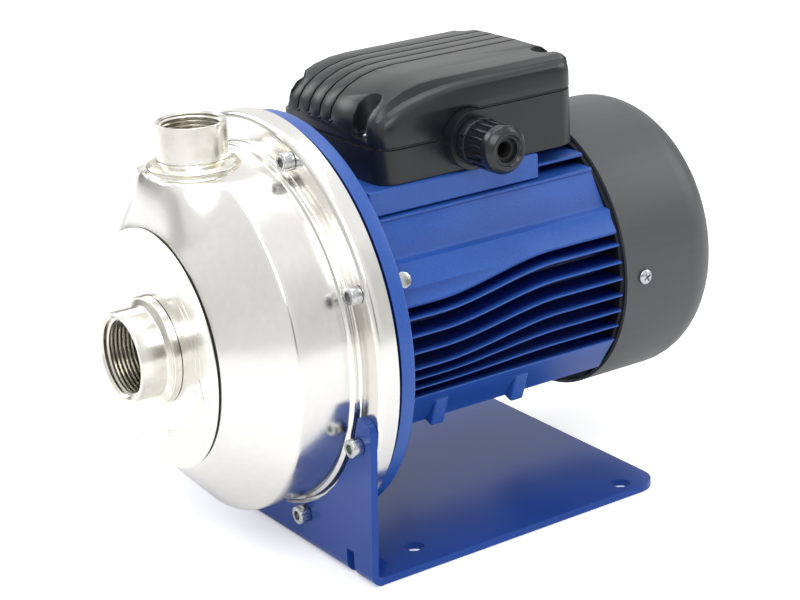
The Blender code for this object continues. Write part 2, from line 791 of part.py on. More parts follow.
def make_impeller():
    back = IMPELLER_BACK
    inner = back - IMPELLER_SHEET
    hub_front = back + 2.0 - IMPELLER_HUB_LENGTH
    disc = [
        (hub_front, SHAFT_NOSE + GAP),
        (hub_front, IMPELLER_HUB - 2),
        (inner - 4, IMPELLER_HUB),
        (inner, IMPELLER_HUB + 5),
        (inner, IMPELLER_RADIUS),
        (back, IMPELLER_RADIUS),
        (back, IMPELLER_HUB),
        (back + 2.0, IMPELLER_HUB - 1.0),
        (back + 2.0, SHAFT_NOSE + GAP),
    ]
    impeller = turned("impeller", disc, MEDIUM_COUNT + 4)
    eye = IMPELLER_EYE + IMPELLER_SHEET
    radii = [eye + (IMPELLER_RADIUS - eye) * step / 3 for step in range(4)]
    inside = [(front_shroud(radius), radius) for radius in radii]
    neck = inside[0][0] - IMPELLER_SHEET
    inside[0] = (inside[0][0], IMPELLER_EYE)
    outside = [(station - IMPELLER_SHEET, radius) for station, radius in inside]
    outside[0] = (neck, eye)
    lip = neck - IMPELLER_EYE_LENGTH
    shroud = [(lip, IMPELLER_EYE), *inside, *outside[::-1], (lip, eye)]
    add(impeller, turned("shroud", shroud, MEDIUM_COUNT + 4))
    outline = vane_side(-VANE_THICKNESS / 2) + vane_side(VANE_THICKNESS / 2)[::-1]
    for index in range(VANE_COUNT):
        vane = extruded("vane", [outline], inner - 4, inner + 1, "X")
        for vertex in vane.data.vertices:
            if vertex.co.x < inner * MM:
                radius = math.hypot(vertex.co.y, vertex.co.z) / MM
                vertex.co.x = (front_shroud(radius) - 1.0) * MM
        vane.data.transform(Matrix.Rotation(2 * math.pi * index / VANE_COUNT, 4, "X"))
        add(impeller, vane)
    return stainless(impeller)


def impeller_lip():
    return front_shroud(IMPELLER_EYE + IMPELLER_SHEET) - IMPELLER_SHEET - IMPELLER_EYE_LENGTH


def make_impeller_fittings():
    ring_front = NOSE_STATION
    ring_back = impeller_lip() + IMPELLER_EYE_LENGTH - 1.0
    bore = IMPELLER_EYE + IMPELLER_SHEET + RUNNING_GAP
    wall = bore + WEAR_RING_WALL
    ring = [(ring_front, bore), (ring_front, wall), (ring_back, wall), (ring_back, bore)]
    paint(turned("wear_ring", ring, MEDIUM_COUNT + 4), (0.35, 0.3, 0.22), 0.5)
    hub_front = IMPELLER_BACK + 2.0 - IMPELLER_HUB_LENGTH
    start = hub_front - GAP - NUT_LENGTH
    nut = rods("impeller_nut", [((start, 0, 0), (hub_front - GAP, 0, 0))], NUT_ACROSS_FLATS / math.sqrt(3), 6)
    cut(nut, rods("thread", [((start - 1, 0, 0), (hub_front + 1, 0, 0))], SHAFT_THREAD + GAP, SMALL_COUNT))
    stainless(nut)


def make_shaft():
    hub_front = IMPELLER_BACK + 2.0 - IMPELLER_HUB_LENGTH
    step = hub_front + 1.0
    tip = hub_front - GAP - NUT_LENGTH - 1.5
    shoulder = IMPELLER_BACK + 2.0 + GAP
    body_front = FRONT_BEARING + BEARING_WIDTH + GAP
    body_back = REAR_BEARING - GAP
    fan_front = FAN_STATION - 2.0
    end = FAN_STATION + FAN_HUB_LENGTH + 5.0
    shape = [
        (tip, 0.0),
        (tip, SHAFT_THREAD - 0.8),
        (tip + 0.8, SHAFT_THREAD),
        (step, SHAFT_THREAD),
        (step, SHAFT_NOSE),
        (shoulder, SHAFT_NOSE),
        (shoulder, SHAFT_SEAL),
        (FRONT_BEARING - 1.0, SHAFT_SEAL),
        (FRONT_BEARING - 1.0, SHAFT_BEARING),
        (body_front, SHAFT_BEARING),
        (body_front, SHAFT_BODY),
        (body_back, SHAFT_BODY),
        (body_back, SHAFT_BEARING),
        (REAR_BEARING + BEARING_WIDTH + 1.0, SHAFT_BEARING),
        (REAR_BEARING + BEARING_WIDTH + 1.0, SHAFT_SEAL),
        (fan_front, SHAFT_SEAL),
        (fan_front, SHAFT_FAN),
        (end - 1.0, SHAFT_FAN),
        (end, SHAFT_FAN - 1.0),
        (end, 0.0),
    ]
    steel(turned("shaft", shape, SMALL_COUNT + 2))


# Bearings: deep-groove ball bearings
def race_groove(station, pitch, inward):
    """Points of the groove that the balls run in, from one shoulder to the other."""
    room = BALL_RADIUS + BALL_ROOM
    lean = math.radians(50)
    points = []
    for step in range(3):
        angle = lean * (step - 1)
        points.append((station + room * math.sin(angle), pitch + inward * room * math.cos(angle)))
    return points


def make_bearing(name, front):
    back = front + BEARING_WIDTH
    middle = (front + back) / 2
    bore = SHAFT_BEARING + GAP
    pitch = (bore + BEARING_RADIUS) / 2
    inner_groove = race_groove(middle, pitch, -1)
    outer_groove = race_groove(middle, pitch, 1)
    shoulder = inner_groove[0][1]
    inner = [(front, bore), (front, shoulder), *inner_groove, (back, shoulder), (back, bore)]
    steel(turned(f"{name}_bearing_inner", inner, 2 * BALL_COUNT))
    shoulder = outer_groove[0][1]
    outer = [(front, BEARING_RADIUS), (front, shoulder), *outer_groove, (back, shoulder), (back, BEARING_RADIUS)]
    steel(turned(f"{name}_bearing_outer", outer, 2 * BALL_COUNT))
    half = CAGE_WIDTH / 2
    low, high = pitch - CAGE_WALL / 2, pitch + CAGE_WALL / 2
    ring = [(middle - half, low), (middle - half, high), (middle + half, high), (middle + half, low)]
    cage = turned(f"{name}_bearing_cage", ring, 2 * BALL_COUNT)
    balls = bmesh.new()
    for index in range(BALL_COUNT):
        side, height = polar(pitch, 360.0 * index / BALL_COUNT)
        place = Matrix.Translation(Vector((middle, side, height)) * MM)
        bmesh.ops.create_uvsphere(balls, u_segments=6, v_segments=4, radius=BALL_RADIUS * MM, matrix=place)
    add(cage, from_bmesh("balls", balls))
    steel(cage)


# Motor adapter: painted cast disc between pump and motor, with the front bearing's seat
def make_motor_adapter():
    seat = FRONT_BEARING - GAP
    bore = BEARING_RADIUS + GAP
    hub = bore + ADAPTER_HUB_WALL
    web_front = ADAPTER_FRONT + 5.0
    web_back = web_front + ADAPTER_WEB
    shape = rounded([
        (web_front, SHAFT_SEAL + 2.0, 0),
        (web_front, HOUSING_SPIGOT - 10, 0),
        (ADAPTER_FRONT, HOUSING_SPIGOT - 4, 0),
        (ADAPTER_FRONT, HOUSING_RADIUS + GAP, 0),
        (HOUSING_FLANGE, HOUSING_RADIUS + GAP, 0),
        (HOUSING_FLANGE, ADAPTER_SPIGOT, RIM_BEND - SHELL),
        (ADAPTER_BAND_FRONT, ADAPTER_SPIGOT, 0),
        (ADAPTER_BAND_FRONT, ADAPTER_RADIUS, 0),
        (ADAPTER_BACK, ADAPTER_RADIUS, 1.2),
        (ADAPTER_BACK, FRAME_BORE - GAP, 0),
        (ADAPTER_BACK + FRAME_SPIGOT, FRAME_BORE - GAP, 0),
        (ADAPTER_BACK + FRAME_SPIGOT, FRAME_BORE - 7, 0),
        (web_back, FRAME_BORE - 9, 0),
        (web_back, hub + 2, 0),
        (FRONT_BEARING + BEARING_WIDTH + 1, hub, 0),
        (FRONT_BEARING + BEARING_WIDTH + 1, bore, 0),
        (seat, bore, 0),
        (seat, SHAFT_SEAL + 2.0, 0),
    ], 1, closed=True)
    adapter = turned("motor_adapter", shape, LARGE_COUNT)
    tip = FLANGE_FACE + SHELL + SCREW_GRIP + SCREW_TIP_ROOM
    cut(adapter, flange_holes("threads", HOUSING_FLANGE - 2, tip, GAP))
    return blue_paint(adapter)


# Motor frame: finned aluminium barrel
def on_envelope(height, radius):
    return math.sqrt(max(radius * radius - height * height, 0.0))


def rib(height, thickness, root):
    """Four points of a flat rib that reaches out to the frame's round envelope."""
    half = thickness / 2
    tip = on_envelope(height, FRAME_RADIUS)
    narrow = half * RIB_TAPER
    return [(root, height + half), (tip, height + narrow), (tip, height - narrow), (root, height - half)]


def wave(station, height):
    """How far the fins dip at a station: they rise in an S towards the fan."""
    share = (FIN_WAVE_END - station) / (FIN_WAVE_END - FIN_WAVE_START)
    share = min(max(share, 0.0), 1.0)
    ease = share * share * (3 - 2 * share)
    fade = (height - FIN_WAVE_FADE_LOW) / (FIN_WAVE_FADE_TOP - FIN_WAVE_FADE_LOW)
    return FIN_PITCH * ease * min(max(fade, 0.0), 1.0)


def frame_side(station):
    """Half outline of the frame at a station, from the crest down to the keel."""
    barrel = FRAME_BORE + FRAME_WALL
    crest = PLATFORM_TOP - 1.5
    points = [(0.0, crest)]
    for height in CREST_RIBS:
        root = CREST_HALF_WIDTH + (CREST_RIBS[0] - height) * 0.5
        points += rib(height, CREST_RIB_THICKNESS, root)
    points[1] = (points[2][0] - 1.0, crest)
    points.pop()
    points.append((PAD_TOP_HALF_WIDTH, PAD_TOP))
    edge = PAD_EDGE - wave(station, PAD_EDGE)
    middle = (PAD_TOP + edge) / 2 + 2.0
    points.append((on_envelope(middle, FRAME_RADIUS - 1.5), middle))
    points.append((on_envelope(edge, FRAME_RADIUS), edge))
    points.append((on_envelope(edge - 2, barrel), edge - 2))
    for index in range(FIN_COUNT):
        height = FIN_TOP - FIN_PITCH * index
        height -= wave(station, height)
        root = on_envelope(height, barrel)
        points += rib(height, FIN_THICKNESS, root)
    last = FIN_TOP - FIN_PITCH * (FIN_COUNT - 1)
    points.pop()
    points.append((on_envelope(SKIRT_LOW, FRAME_RADIUS), SKIRT_LOW))
    points.append((on_envelope(SKIRT_LOW, FRAME_RADIUS) - 6, SKIRT_LOW - 3))
    points.append((0.0, KEEL_LOW))
    return points


def make_motor_frame():
    stations = [FRAME_FRONT, FIN_WAVE_START]
    bends = 4
    stations += [FIN_WAVE_START + (FIN_WAVE_END - FIN_WAVE_START) * i / bends for i in range(1, bends + 1)]
    stations.append(FRAME_BACK)
    layers = []
    for station in stations:
        half = frame_side(station)
        outline = half + [(-side, height) for side, height in half[1:-1][::-1]]
        layers.append([(station, side, height) for side, height in outline])
    frame = lofted("motor_frame", layers)
    platform = block("platform", (PLATFORM_FRONT, -PLATFORM_HALF_WIDTH, PLATFORM_LOW),
                     (PLATFORM_BACK, PLATFORM_HALF_WIDTH, PLATFORM_TOP))
    add(frame, platform)
    skirt = on_envelope(SKIRT_LOW, FRAME_RADIUS)
    for station in SKIRT_BOSS_STATIONS:
        for side in (-1, 1):
            low = (station - SKIRT_BOSS_WIDTH / 2, side * (skirt + SKIRT_BOSS_PROUD), SKIRT_LOW - 2)
            high = (station + SKIRT_BOSS_WIDTH / 2, side * (skirt - SKIRT_BOSS_DEPTH), SKIRT_LOW + SKIRT_BOSS_HEIGHT)
            corners = [[min(a, b) for a, b in zip(low, high)], [max(a, b) for a, b in zip(low, high)]]
            add(frame, block("boss", *corners))
    cut(frame, rods("bore", [((FRAME_FRONT - 5, 0, 0), (FRAME_BACK + 5, 0, 0))], FRAME_BORE, LARGE_COUNT))
    well = (GLAND_STATION, CABLE_HOLE_SIDE, FRAME_BORE - 8), (GLAND_STATION, CABLE_HOLE_SIDE, PLATFORM_TOP + 5)
    cut(frame, rods("cable_well", [well], CABLE_HOLE, 20))
    side, height = earth_screw_place()
    direction = Vector((0, side, height)).normalized()
    outer = Vector((EARTH_STATION, side, height)) + direction * 5
    inner = outer - direction * 12
    cut(frame, rods("earth_hole", [(inner, outer)], EARTH_SCREW_RADIUS + GAP, SMALL_COUNT))
    return blue_paint(frame)


def earth_screw_place():
    """Side and height on the pad where the earth screw sits."""
    edge = PAD_EDGE - wave(EARTH_STATION, PAD_EDGE)
    middle = (PAD_TOP + edge) / 2 + 2.0
    side = -on_envelope(middle, FRAME_RADIUS - 1.5)
    return side, middle


def make_earth_screw():
    side, height = earth_screw_place()
    out = Vector((0, side, height)).normalized()
    foot = Vector((EARTH_STATION, side, height))
    head = rods("earth_screw", [(foot + out * 1.0, foot + out * 4.0)], 4.5, SMALL_COUNT)
    add(head, rods("shank", [(foot - out * 6.0, foot + out * 1.5)], EARTH_SCREW_RADIUS, SMALL_COUNT))
    return steel(head)


def make_stator():
    slots = []
    pitch = 2 * math.pi / SLOT_COUNT
    for index in range(SLOT_COUNT):
        middle = pitch * index
        reach = STATOR_BORE + SLOT_DEPTH
        half = pitch * SLOT_SHARE / 2
        for radius, angle in ((STATOR_BORE, middle - half * 0.6), (reach, middle - half),
                              (reach, middle + half), (STATOR_BORE, middle + half * 0.6)):
            slots.append((radius * math.cos(angle), radius * math.sin(angle)))
    outer = circle(FRAME_BORE - GAP, LARGE_COUNT)
    core = extruded("stator_core", [outer, slots], STATOR_FRONT, STATOR_BACK, "X")
    paint(core, (0.22, 0.22, 0.23), 0.5, 0.8)
    heads = {"winding_front": STATOR_FRONT - GAP - WINDING_LENGTH, "winding_rear": STATOR_BACK + GAP}
    for name, start in heads.items():
        end = start + WINDING_LENGTH
        shape = rounded([
            (start, WINDING_INNER, 4), (start, WINDING_OUTER, 5),
            (end, WINDING_OUTER, 5), (end, WINDING_INNER, 4)], 1, closed=True)
        copper(turned(name, shape, MEDIUM_COUNT))
    ring_front, ring_back = STATOR_FRONT - ROTOR_END_RING, STATOR_BACK + ROTOR_END_RING
    radius = STATOR_BORE - RUNNING_GAP
    bore = SHAFT_BODY + GAP
    core = [
        (ring_front, bore), (ring_front, ROTOR_END_RADIUS), (STATOR_FRONT, ROTOR_END_RADIUS),
        (STATOR_FRONT, radius), (STATOR_BACK, radius), (STATOR_BACK, ROTOR_END_RADIUS),
        (ring_back, ROTOR_END_RADIUS), (ring_back, bore),
    ]
    paint(turned("rotor_core", core, MEDIUM_COUNT), (0.4, 0.4, 0.41), 0.45, 0.9)


# Rear end shield, cooling fan and its cover
def fan_screw_angles():
    return [-90.0 + 360.0 * index / FAN_SCREW_COUNT for index in range(FAN_SCREW_COUNT)]


def make_end_shield():
    bore = BEARING_RADIUS + GAP
    hub = bore + SHIELD_HUB_WALL
    seat = REAR_BEARING + BEARING_WIDTH + GAP + WASHER_ROOM
    rim_back = SHIELD_FACE + SHIELD_RIM
    web_front = SHIELD_FACE - SHIELD_WEB + 3.0
    web_back = SHIELD_FACE + 3.0
    shape = rounded([
        (REAR_BEARING - 1, bore, 0),
        (REAR_BEARING - 1, hub, 0),
        (web_front, hub + 2, 0),
        (web_front, FRAME_BORE - 8, 0),
        (SHIELD_FACE - FRAME_SPIGOT, FRAME_BORE - 6, 0),
        (SHIELD_FACE - FRAME_SPIGOT, FRAME_BORE - GAP, 0),
        (SHIELD_FACE, FRAME_BORE - GAP, 0),
        (SHIELD_FACE, SHIELD_RADIUS, 0),
        (rim_back, SHIELD_RADIUS, 0),
        (rim_back, SHIELD_RADIUS - 8, 0),
        (web_back, SHIELD_RADIUS - 12, 0),
        (web_back, SHAFT_SEAL + 1.5, 0),
        (seat, SHAFT_SEAL + 1.5, 0),
        (seat, bore, 0),
    ], 1, closed=True)
    shield = turned("rear_end_shield", shape, LARGE_COUNT)
    holes = []
    for degrees in fan_screw_angles():
        lug = block("lug", (rim_back - 3, -LUG_WIDTH / 2, SHIELD_RADIUS - LUG_DEPTH),
                    (FAN_SCREW_STATION + LUG_WIDTH / 2, LUG_WIDTH / 2, SHIELD_RADIUS - 0.7))
        lug.data.transform(Matrix.Rotation(-math.radians(degrees), 4, "X"))
        add(shield, lug)
        start = (FAN_SCREW_STATION, *polar(SHIELD_RADIUS - LUG_DEPTH + 1.5, degrees))
        holes.append((start, (FAN_SCREW_STATION, *polar(SHIELD_RADIUS + 5, degrees))))
    cut(shield, rods("threads", holes, FAN_SCREW_RADIUS + GAP, SCREW_SIDE_COUNT))
    blue_paint(shield)
    front = seat - GAP - WASHER_ROOM + 0.5
    washer = [(front, 14.5), (front, BEARING_RADIUS - 1), (front + 0.8, BEARING_RADIUS - 1), (front + 0.8, 14.5)]
    ring = turned("wave_washer", washer, MEDIUM_COUNT)
    for vertex in ring.data.vertices:
        angle = math.atan2(vertex.co.y, vertex.co.z)
        vertex.co.x += 0.25 * MM * math.sin(3 * angle)
    steel(ring)


def make_cooling_fan():
    bore = SHAFT_FAN + GAP
    start, end = FAN_STATION, FAN_STATION + FAN_HUB_LENGTH
    hub = [
        (start, bore), (start, FAN_HUB_RADIUS), (start + 1, FAN_DISC), (start + 3, FAN_DISC),
        (start + 3, FAN_HUB_RADIUS), (end, FAN_HUB_RADIUS - 1), (end, bore),
    ]
    fan = turned("cooling_fan", hub, MEDIUM_COUNT)
    half = FAN_BLADE_THICKNESS / 2
    for index in range(FAN_BLADE_COUNT):
        blade = extruded("blade", [[
            (start + 1.5, FAN_HUB_RADIUS - 3), (start + 1.5, FAN_RADIUS - 6), (start + 7, FAN_RADIUS),
            (start + FAN_BLADE_LENGTH, FAN_RADIUS), (start + FAN_BLADE_LENGTH, FAN_HUB_RADIUS + 14),
            (end - 1, FAN_HUB_RADIUS - 3)]], -half, half, "Y")
        blade.data.transform(Matrix.Rotation(2 * math.pi * (index + 0.5) / FAN_BLADE_COUNT, 4, "X"))
        add(fan, blade)
    grey_plastic(fan)
    clip_front = end + GAP
    clip = [
        (clip_front, bore), (clip_front, bore + 3.0),
        (clip_front + CLIP_THICKNESS, bore + 3.0), (clip_front + CLIP_THICKNESS, bore),
    ]
    steel(turned("fan_clip", clip, SMALL_COUNT + 4))


def make_fan_cover():
    inside = SHIELD_RADIUS + GAP
    outside = inside + FAN_COVER_WALL
    flat = outside - FAN_COVER_SHOULDER
    path = rounded([
        (FAN_COVER_BACK, flat - 12, 0),
        (FAN_COVER_BACK, outside, FAN_COVER_SHOULDER),
        (FAN_COVER_FRONT, outside, 0)], 5)
    profile = path + offset(path, -FAN_COVER_WALL)[::-1]
    cover = turned("fan_cover", profile, LARGE_COUNT)
    slots = []
    radius = GRILLE_CENTRE
    for ring in range(GRILLE_RINGS):
        count = GRILLE_SPOKES
        for index in range(count):
            start = 2 * math.pi * index / count + GRILLE_BAR / 2 / (radius + GRILLE_SLOT / 2)
            end = 2 * math.pi * (index + 1) / count - GRILLE_BAR / 2 / (radius + GRILLE_SLOT / 2)
            bends = 1 if ring == 0 else 2
            turns = [start + (end - start) * step / bends for step in range(bends + 1)]
            low = [(radius * math.cos(a), radius * math.sin(a)) for a in turns]
            reach = radius + GRILLE_SLOT
            slots.append(low + [(reach * math.cos(a), reach * math.sin(a)) for a in turns[::-1]])
        radius += GRILLE_SLOT + GRILLE_BAR
    disc = circle(flat - 11, LARGE_COUNT, phase=0.5)
    grille = extruded("grille", [disc, *slots], FAN_COVER_BACK - FAN_COVER_WALL * 0.9, FAN_COVER_BACK - 0.1, "X")
    add(cover, grille)
    holes = []
    for degrees in fan_screw_angles():
        inner, outer = polar(inside - 3, degrees), polar(outside + 3, degrees)
        holes.append(((FAN_SCREW_STATION, *inner), (FAN_SCREW_STATION, *outer)))
    cut(cover, rods("holes", holes, FAN_SCREW_RADIUS + GAP, SCREW_SIDE_COUNT))
    grey_plastic(cover)
    for index, degrees in enumerate(fan_screw_angles()):
        seat = outside + GAP
        tip = outside - FAN_SCREW_LENGTH
        top = seat + FAN_SCREW_HEAD
        shape = [
            (tip, 0.0), (tip, FAN_SCREW_RADIUS), (seat, FAN_SCREW_RADIUS),
            (seat, FAN_SCREW_HEAD_RADIUS), (top, FAN_SCREW_HEAD_RADIUS * 0.6), (top, 0.0),
        ]
        screw = turned(f"fan_cover_screw_{index + 1}", shape, SCREW_SIDE_COUNT)
        screw.location = (FAN_SCREW_STATION * MM, 0, 0)
        side, height = polar(1.0, degrees)
        screw.rotation_euler = Vector((0, side, height)).to_track_quat("X", "Z").to_euler()
        steel(screw)


# Terminal box: base and cover meet along a line that steps up beside the gland
def box_outline(inset):
    low, high = BOX_FRONT + inset, BOX_FRONT + BOX_LENGTH - inset
    side = BOX_HALF_WIDTH - inset
    radius = BOX_CORNER - inset
    corners = [(low, -side, radius), (high, -side, radius), (high, side, radius), (low, side, radius)]
    return rounded(corners, 3, closed=True)


def split_line(shift):
    """The joint between base and cover in side view, shifted up."""
    return [
        (BOX_FRONT - BOX_CORNER, BOX_LOW_SPLIT + shift),
        (GLAND_STATION - BOX_SPLIT_RAMP, BOX_LOW_SPLIT + shift),
        (GLAND_STATION, BOX_HIGH_SPLIT + shift),
        (BOX_FRONT + BOX_LENGTH + BOX_CORNER, BOX_HIGH_SPLIT + shift),
    ]


def beside_split(name, shift, level):
    """The room between the joint line and a level, across the whole box."""
    line = split_line(shift)
    side = BOX_HALF_WIDTH + BOX_CORNER
    return extruded(name, [line + [(line[-1][0], level), (line[0][0], level)]], -side, side, "Y")


def split_height(station):
    return BOX_LOW_SPLIT if station < GLAND_STATION else BOX_HIGH_SPLIT


def cover_floor(station):
    return split_height(station) + GASKET_THICKNESS + 2 * GAP


def box_screw_places():
    front = BOX_FRONT + BOX_SCREW_INSET
    back = BOX_FRONT + BOX_LENGTH - BOX_SCREW_INSET
    sides = BOX_SCREW_NEAR_INSET - BOX_HALF_WIDTH, BOX_HALF_WIDTH - BOX_SCREW_FAR_INSET
    return [(station, side) for station in (front, back) for side in sides]


def gland_notch(piece):
    """Clear the round boss of the gland from a piece above it."""
    wall = -BOX_HALF_WIDTH
    notch = ((GLAND_STATION, wall - GLAND_BOSS_LENGTH, GLAND_HEIGHT),
             (GLAND_STATION, wall + GLAND_BOSS_ROOT + GAP, GLAND_HEIGHT))
    cut(piece, rods("notch", [notch], GLAND_BOSS_RADIUS + GAP, LARGE_COUNT))


def make_box_base():
    raw_top = BOX_HIGH_SPLIT + BOX_WALL
    base = extruded("terminal_box_base", [box_outline(0)], BOX_FLOOR, raw_top, "Z")
    cut(base, extruded("room", [box_outline(BOX_WALL)], BOX_FLOOR + BOX_WALL, BOX_TOP, "Z"))
    for station, side in box_screw_places():
        post = (station, side, BOX_FLOOR + 1), (station, side, raw_top)
        add(base, rods("boss", [post], BOX_BOSS_RADIUS, SMALL_COUNT))
    cut(base, beside_split("above", 0.0, BOX_TOP))
    wall = -BOX_HALF_WIDTH
    boss = ((GLAND_STATION, wall + GLAND_BOSS_ROOT, GLAND_HEIGHT),
            (GLAND_STATION, wall - GLAND_BOSS_LENGTH, GLAND_HEIGHT))
    add(base, rods("gland_boss", [boss], GLAND_BOSS_RADIUS, LARGE_COUNT))
    bore = ((GLAND_STATION, wall + BOX_WALL + 1, GLAND_HEIGHT),
            (GLAND_STATION, wall - GLAND_BOSS_LENGTH - 1, GLAND_HEIGHT))
    cut(base, rods("gland_hole", [bore], GLAND_THREAD + GAP, MEDIUM_COUNT))
    holes = []
    for station, side in box_screw_places():
        top = split_height(station)
        holes.append(((station, side, top - BOX_SCREW_LENGTH), (station, side, top + BOX_WALL)))
    cut(base, rods("screw_holes", holes, BOX_SCREW_RADIUS + GAP, SCREW_SIDE_COUNT))
    cable = ((GLAND_STATION, CABLE_HOLE_SIDE, BOX_FLOOR - BOX_WALL),
             (GLAND_STATION, CABLE_HOLE_SIDE, BOX_FLOOR + 2 * BOX_WALL))
    cut(base, rods("cable_hole", [cable], CABLE_HOLE, MEDIUM_COUNT))
    black_plastic(base)
    loops = [box_outline(0.5), box_outline(BOX_WALL)]
    ring = extruded("terminal_box_gasket", loops, BOX_LOW_SPLIT - 1, BOX_HIGH_SPLIT + 2 * BOX_WALL, "Z")
    cut(ring, beside_split("below", GAP, BOX_FLOOR))
    cut(ring, beside_split("above", GAP + GASKET_THICKNESS, BOX_TOP))
    gland_notch(ring)
    rubber(ring)


def ramp(value, low, high):
    """Share of the way from low to high, from 0 to 1."""
    return min(max((value - low) / (high - low), 0.0), 1.0)


def crown(side):
    """Height of the cover at a distance from its middle: a flat deck, a cove and a rounded shoulder."""
    deck = BOX_HALF_WIDTH - COVER_DECK_INSET
    cove = deck + COVER_COVE_WIDTH
    drop = COVER_CROWN * ramp(side, 0.0, deck) ** 2
    drop += (COVER_SHOULDER_DROP - COVER_CROWN) * ramp(side, deck, cove)
    bend = ramp(side, cove, BOX_HALF_WIDTH)
    return BOX_TOP - drop - COVER_SHOULDER_ROUND * (1 - math.sqrt(1 - bend * bend))


def cover_side_view(side, inset, floor):
    """Outline of the cover at a distance from its middle, with a long elliptical nose."""
    corner = BOX_CORNER - inset
    into = max(side - (BOX_HALF_WIDTH - BOX_CORNER), 0.0)
    end_inset = inset + corner - math.sqrt(max(corner * corner - into * into, 0.0))
    low, high = BOX_FRONT + end_inset, BOX_FRONT + BOX_LENGTH - end_inset
    top = crown(side + inset) - inset
    deck = BOX_HALF_WIDTH - COVER_DECK_INSET
    share = ramp(side + inset, deck, deck + COVER_COVE_WIDTH)
    nose = BOX_FRONT + COVER_NOSE + (COVER_SHOULDER_NOSE - COVER_NOSE) * share
    points = [(low, floor)]
    for step in range(NOSE_FACET_COUNT + 1):
        angle = math.pi / 2 * step / NOSE_FACET_COUNT
        points.append((nose - (nose - low) * math.cos(angle), COVER_LIP + (top - COVER_LIP) * math.sin(angle)))
    back = rounded([(nose, top, 0), (high, top, COVER_BACK_ROUND - inset), (high, floor, 0)], 3, even=True)
    return points + back[1:]


def cover_form(name, inset, floor):
    """The cover's body: side views lofted from one side of the box to the other."""
    half = BOX_HALF_WIDTH - inset
    corner = half - (BOX_CORNER - inset)
    deck = half - COVER_DECK_INSET
    cove = deck + COVER_COVE_WIDTH
    places = [half, half - 0.6, half - 2.4, (half + cove) / 2, cove, deck, corner, half / 2]
    sides = [-side for side in places] + [0.0] + places[::-1]
    form = lofted(name, [[(x, y, z) for x, z in cover_side_view(abs(y), inset, floor)] for y in sides])
    form.modifiers.new("flat_facets", "TRIANGULATE")
    return settle(form)


def cover_body(name, inset):
    """The cover's body down to the joint line."""
    body = cover_form(name, inset, BOX_LOW_SPLIT)
    return cut(body, beside_split("below", GASKET_THICKNESS + 2 * GAP, BOX_FLOOR))


def make_box_cover():
    cover = cover_body("terminal_box_cover", 0.0)
    cut(cover, cover_form("room", BOX_WALL, BOX_LOW_SPLIT - 1))
    for side in GROOVES:
        reach = 2 * GROOVE_DEPTH
        view = cover_side_view(abs(side), 0.0, COVER_LIP - reach)
        path = view[:-1] + [(view[-2][0], view[-2][1] - reach)]
        outline = offset(path, -reach) + offset(path, GROOVE_DEPTH)[::-1]
        cut(cover, extruded("groove", [outline], side - GROOVE_WIDTH / 2, side + GROOVE_WIDTH / 2, "Y"))
    for station, side in box_screw_places():
        floor = cover_floor(station)
        seat = floor + BOX_SCREW_FLOOR
        post = (station, side, floor), (station, side, BOX_TOP)
        post = rods("post", [post], BOX_SCREW_POCKET + BOX_SCREW_POCKET_WALL, MEDIUM_COUNT)
        combine(post, cover_body("body", 0.1), "INTERSECT")
        add(cover, post)
        pocket = (station, side, seat), (station, side, BOX_TOP + BOX_WALL)
        cut(cover, rods("pocket", [pocket], BOX_SCREW_POCKET, MEDIUM_COUNT))
        hole = (station, side, floor - BOX_WALL), (station, side, seat + BOX_WALL)
        cut(cover, rods("hole", [hole], BOX_SCREW_RADIUS + GAP, SCREW_SIDE_COUNT))
    gland_notch(cover)
    black_plastic(cover)


def make_box_screws():
    for index, (station, side) in enumerate(box_screw_places()):
        seat = cover_floor(station) + BOX_SCREW_FLOOR + GAP
        top = seat + BOX_SCREW_HEAD
        tip = split_height(station) - BOX_SCREW_LENGTH + SCREW_TIP_ROOM
        shape = [
            (tip, 0.0), (tip, BOX_SCREW_RADIUS), (seat, BOX_SCREW_RADIUS),
            (seat, BOX_SCREW_HEAD_RADIUS), (top, BOX_SCREW_HEAD_RADIUS * 0.6), (top, 0.0),
        ]
        screw = turned(f"box_cover_screw_{index + 1}", shape, SCREW_SIDE_COUNT)
        screw.location = (station * MM, side * MM, 0)
        screw.rotation_euler = (0, -math.pi / 2, 0)
        steel(screw)


def make_box_contents():
    length, width, height = BOARD_SIZE
    floor = BOX_FLOOR + BOX_WALL + GAP
    low = (BOARD_STATION - length, BOARD_SIDE - width / 2, floor)
    board = block("terminal_board", low, (BOARD_STATION, BOARD_SIDE + width / 2, floor + height))
    studs = []
    for column in range(3):
        for row in (-1, 1):
            x = BOARD_STATION - length * (column + 0.5) / 3
            y = BOARD_SIDE + row * width / 4
            studs.append(((x, y, floor + height - 1), (x, y, floor + height + STUD_LENGTH)))
    add(board, rods("studs", studs, STUD_RADIUS, 8))
    paint(board, (0.25, 0.05, 0.03), 0.45)
    end = BOX_FRONT + BOX_LENGTH - CAPACITOR_INSET
    level = floor + CAPACITOR_RADIUS
    can = (end - CAPACITOR_LENGTH, CAPACITOR_SIDE, level), (end, CAPACITOR_SIDE, level)
    paint(rods("capacitor", [can], CAPACITOR_RADIUS, LARGE_COUNT), (0.7, 0.7, 0.68), 0.4)


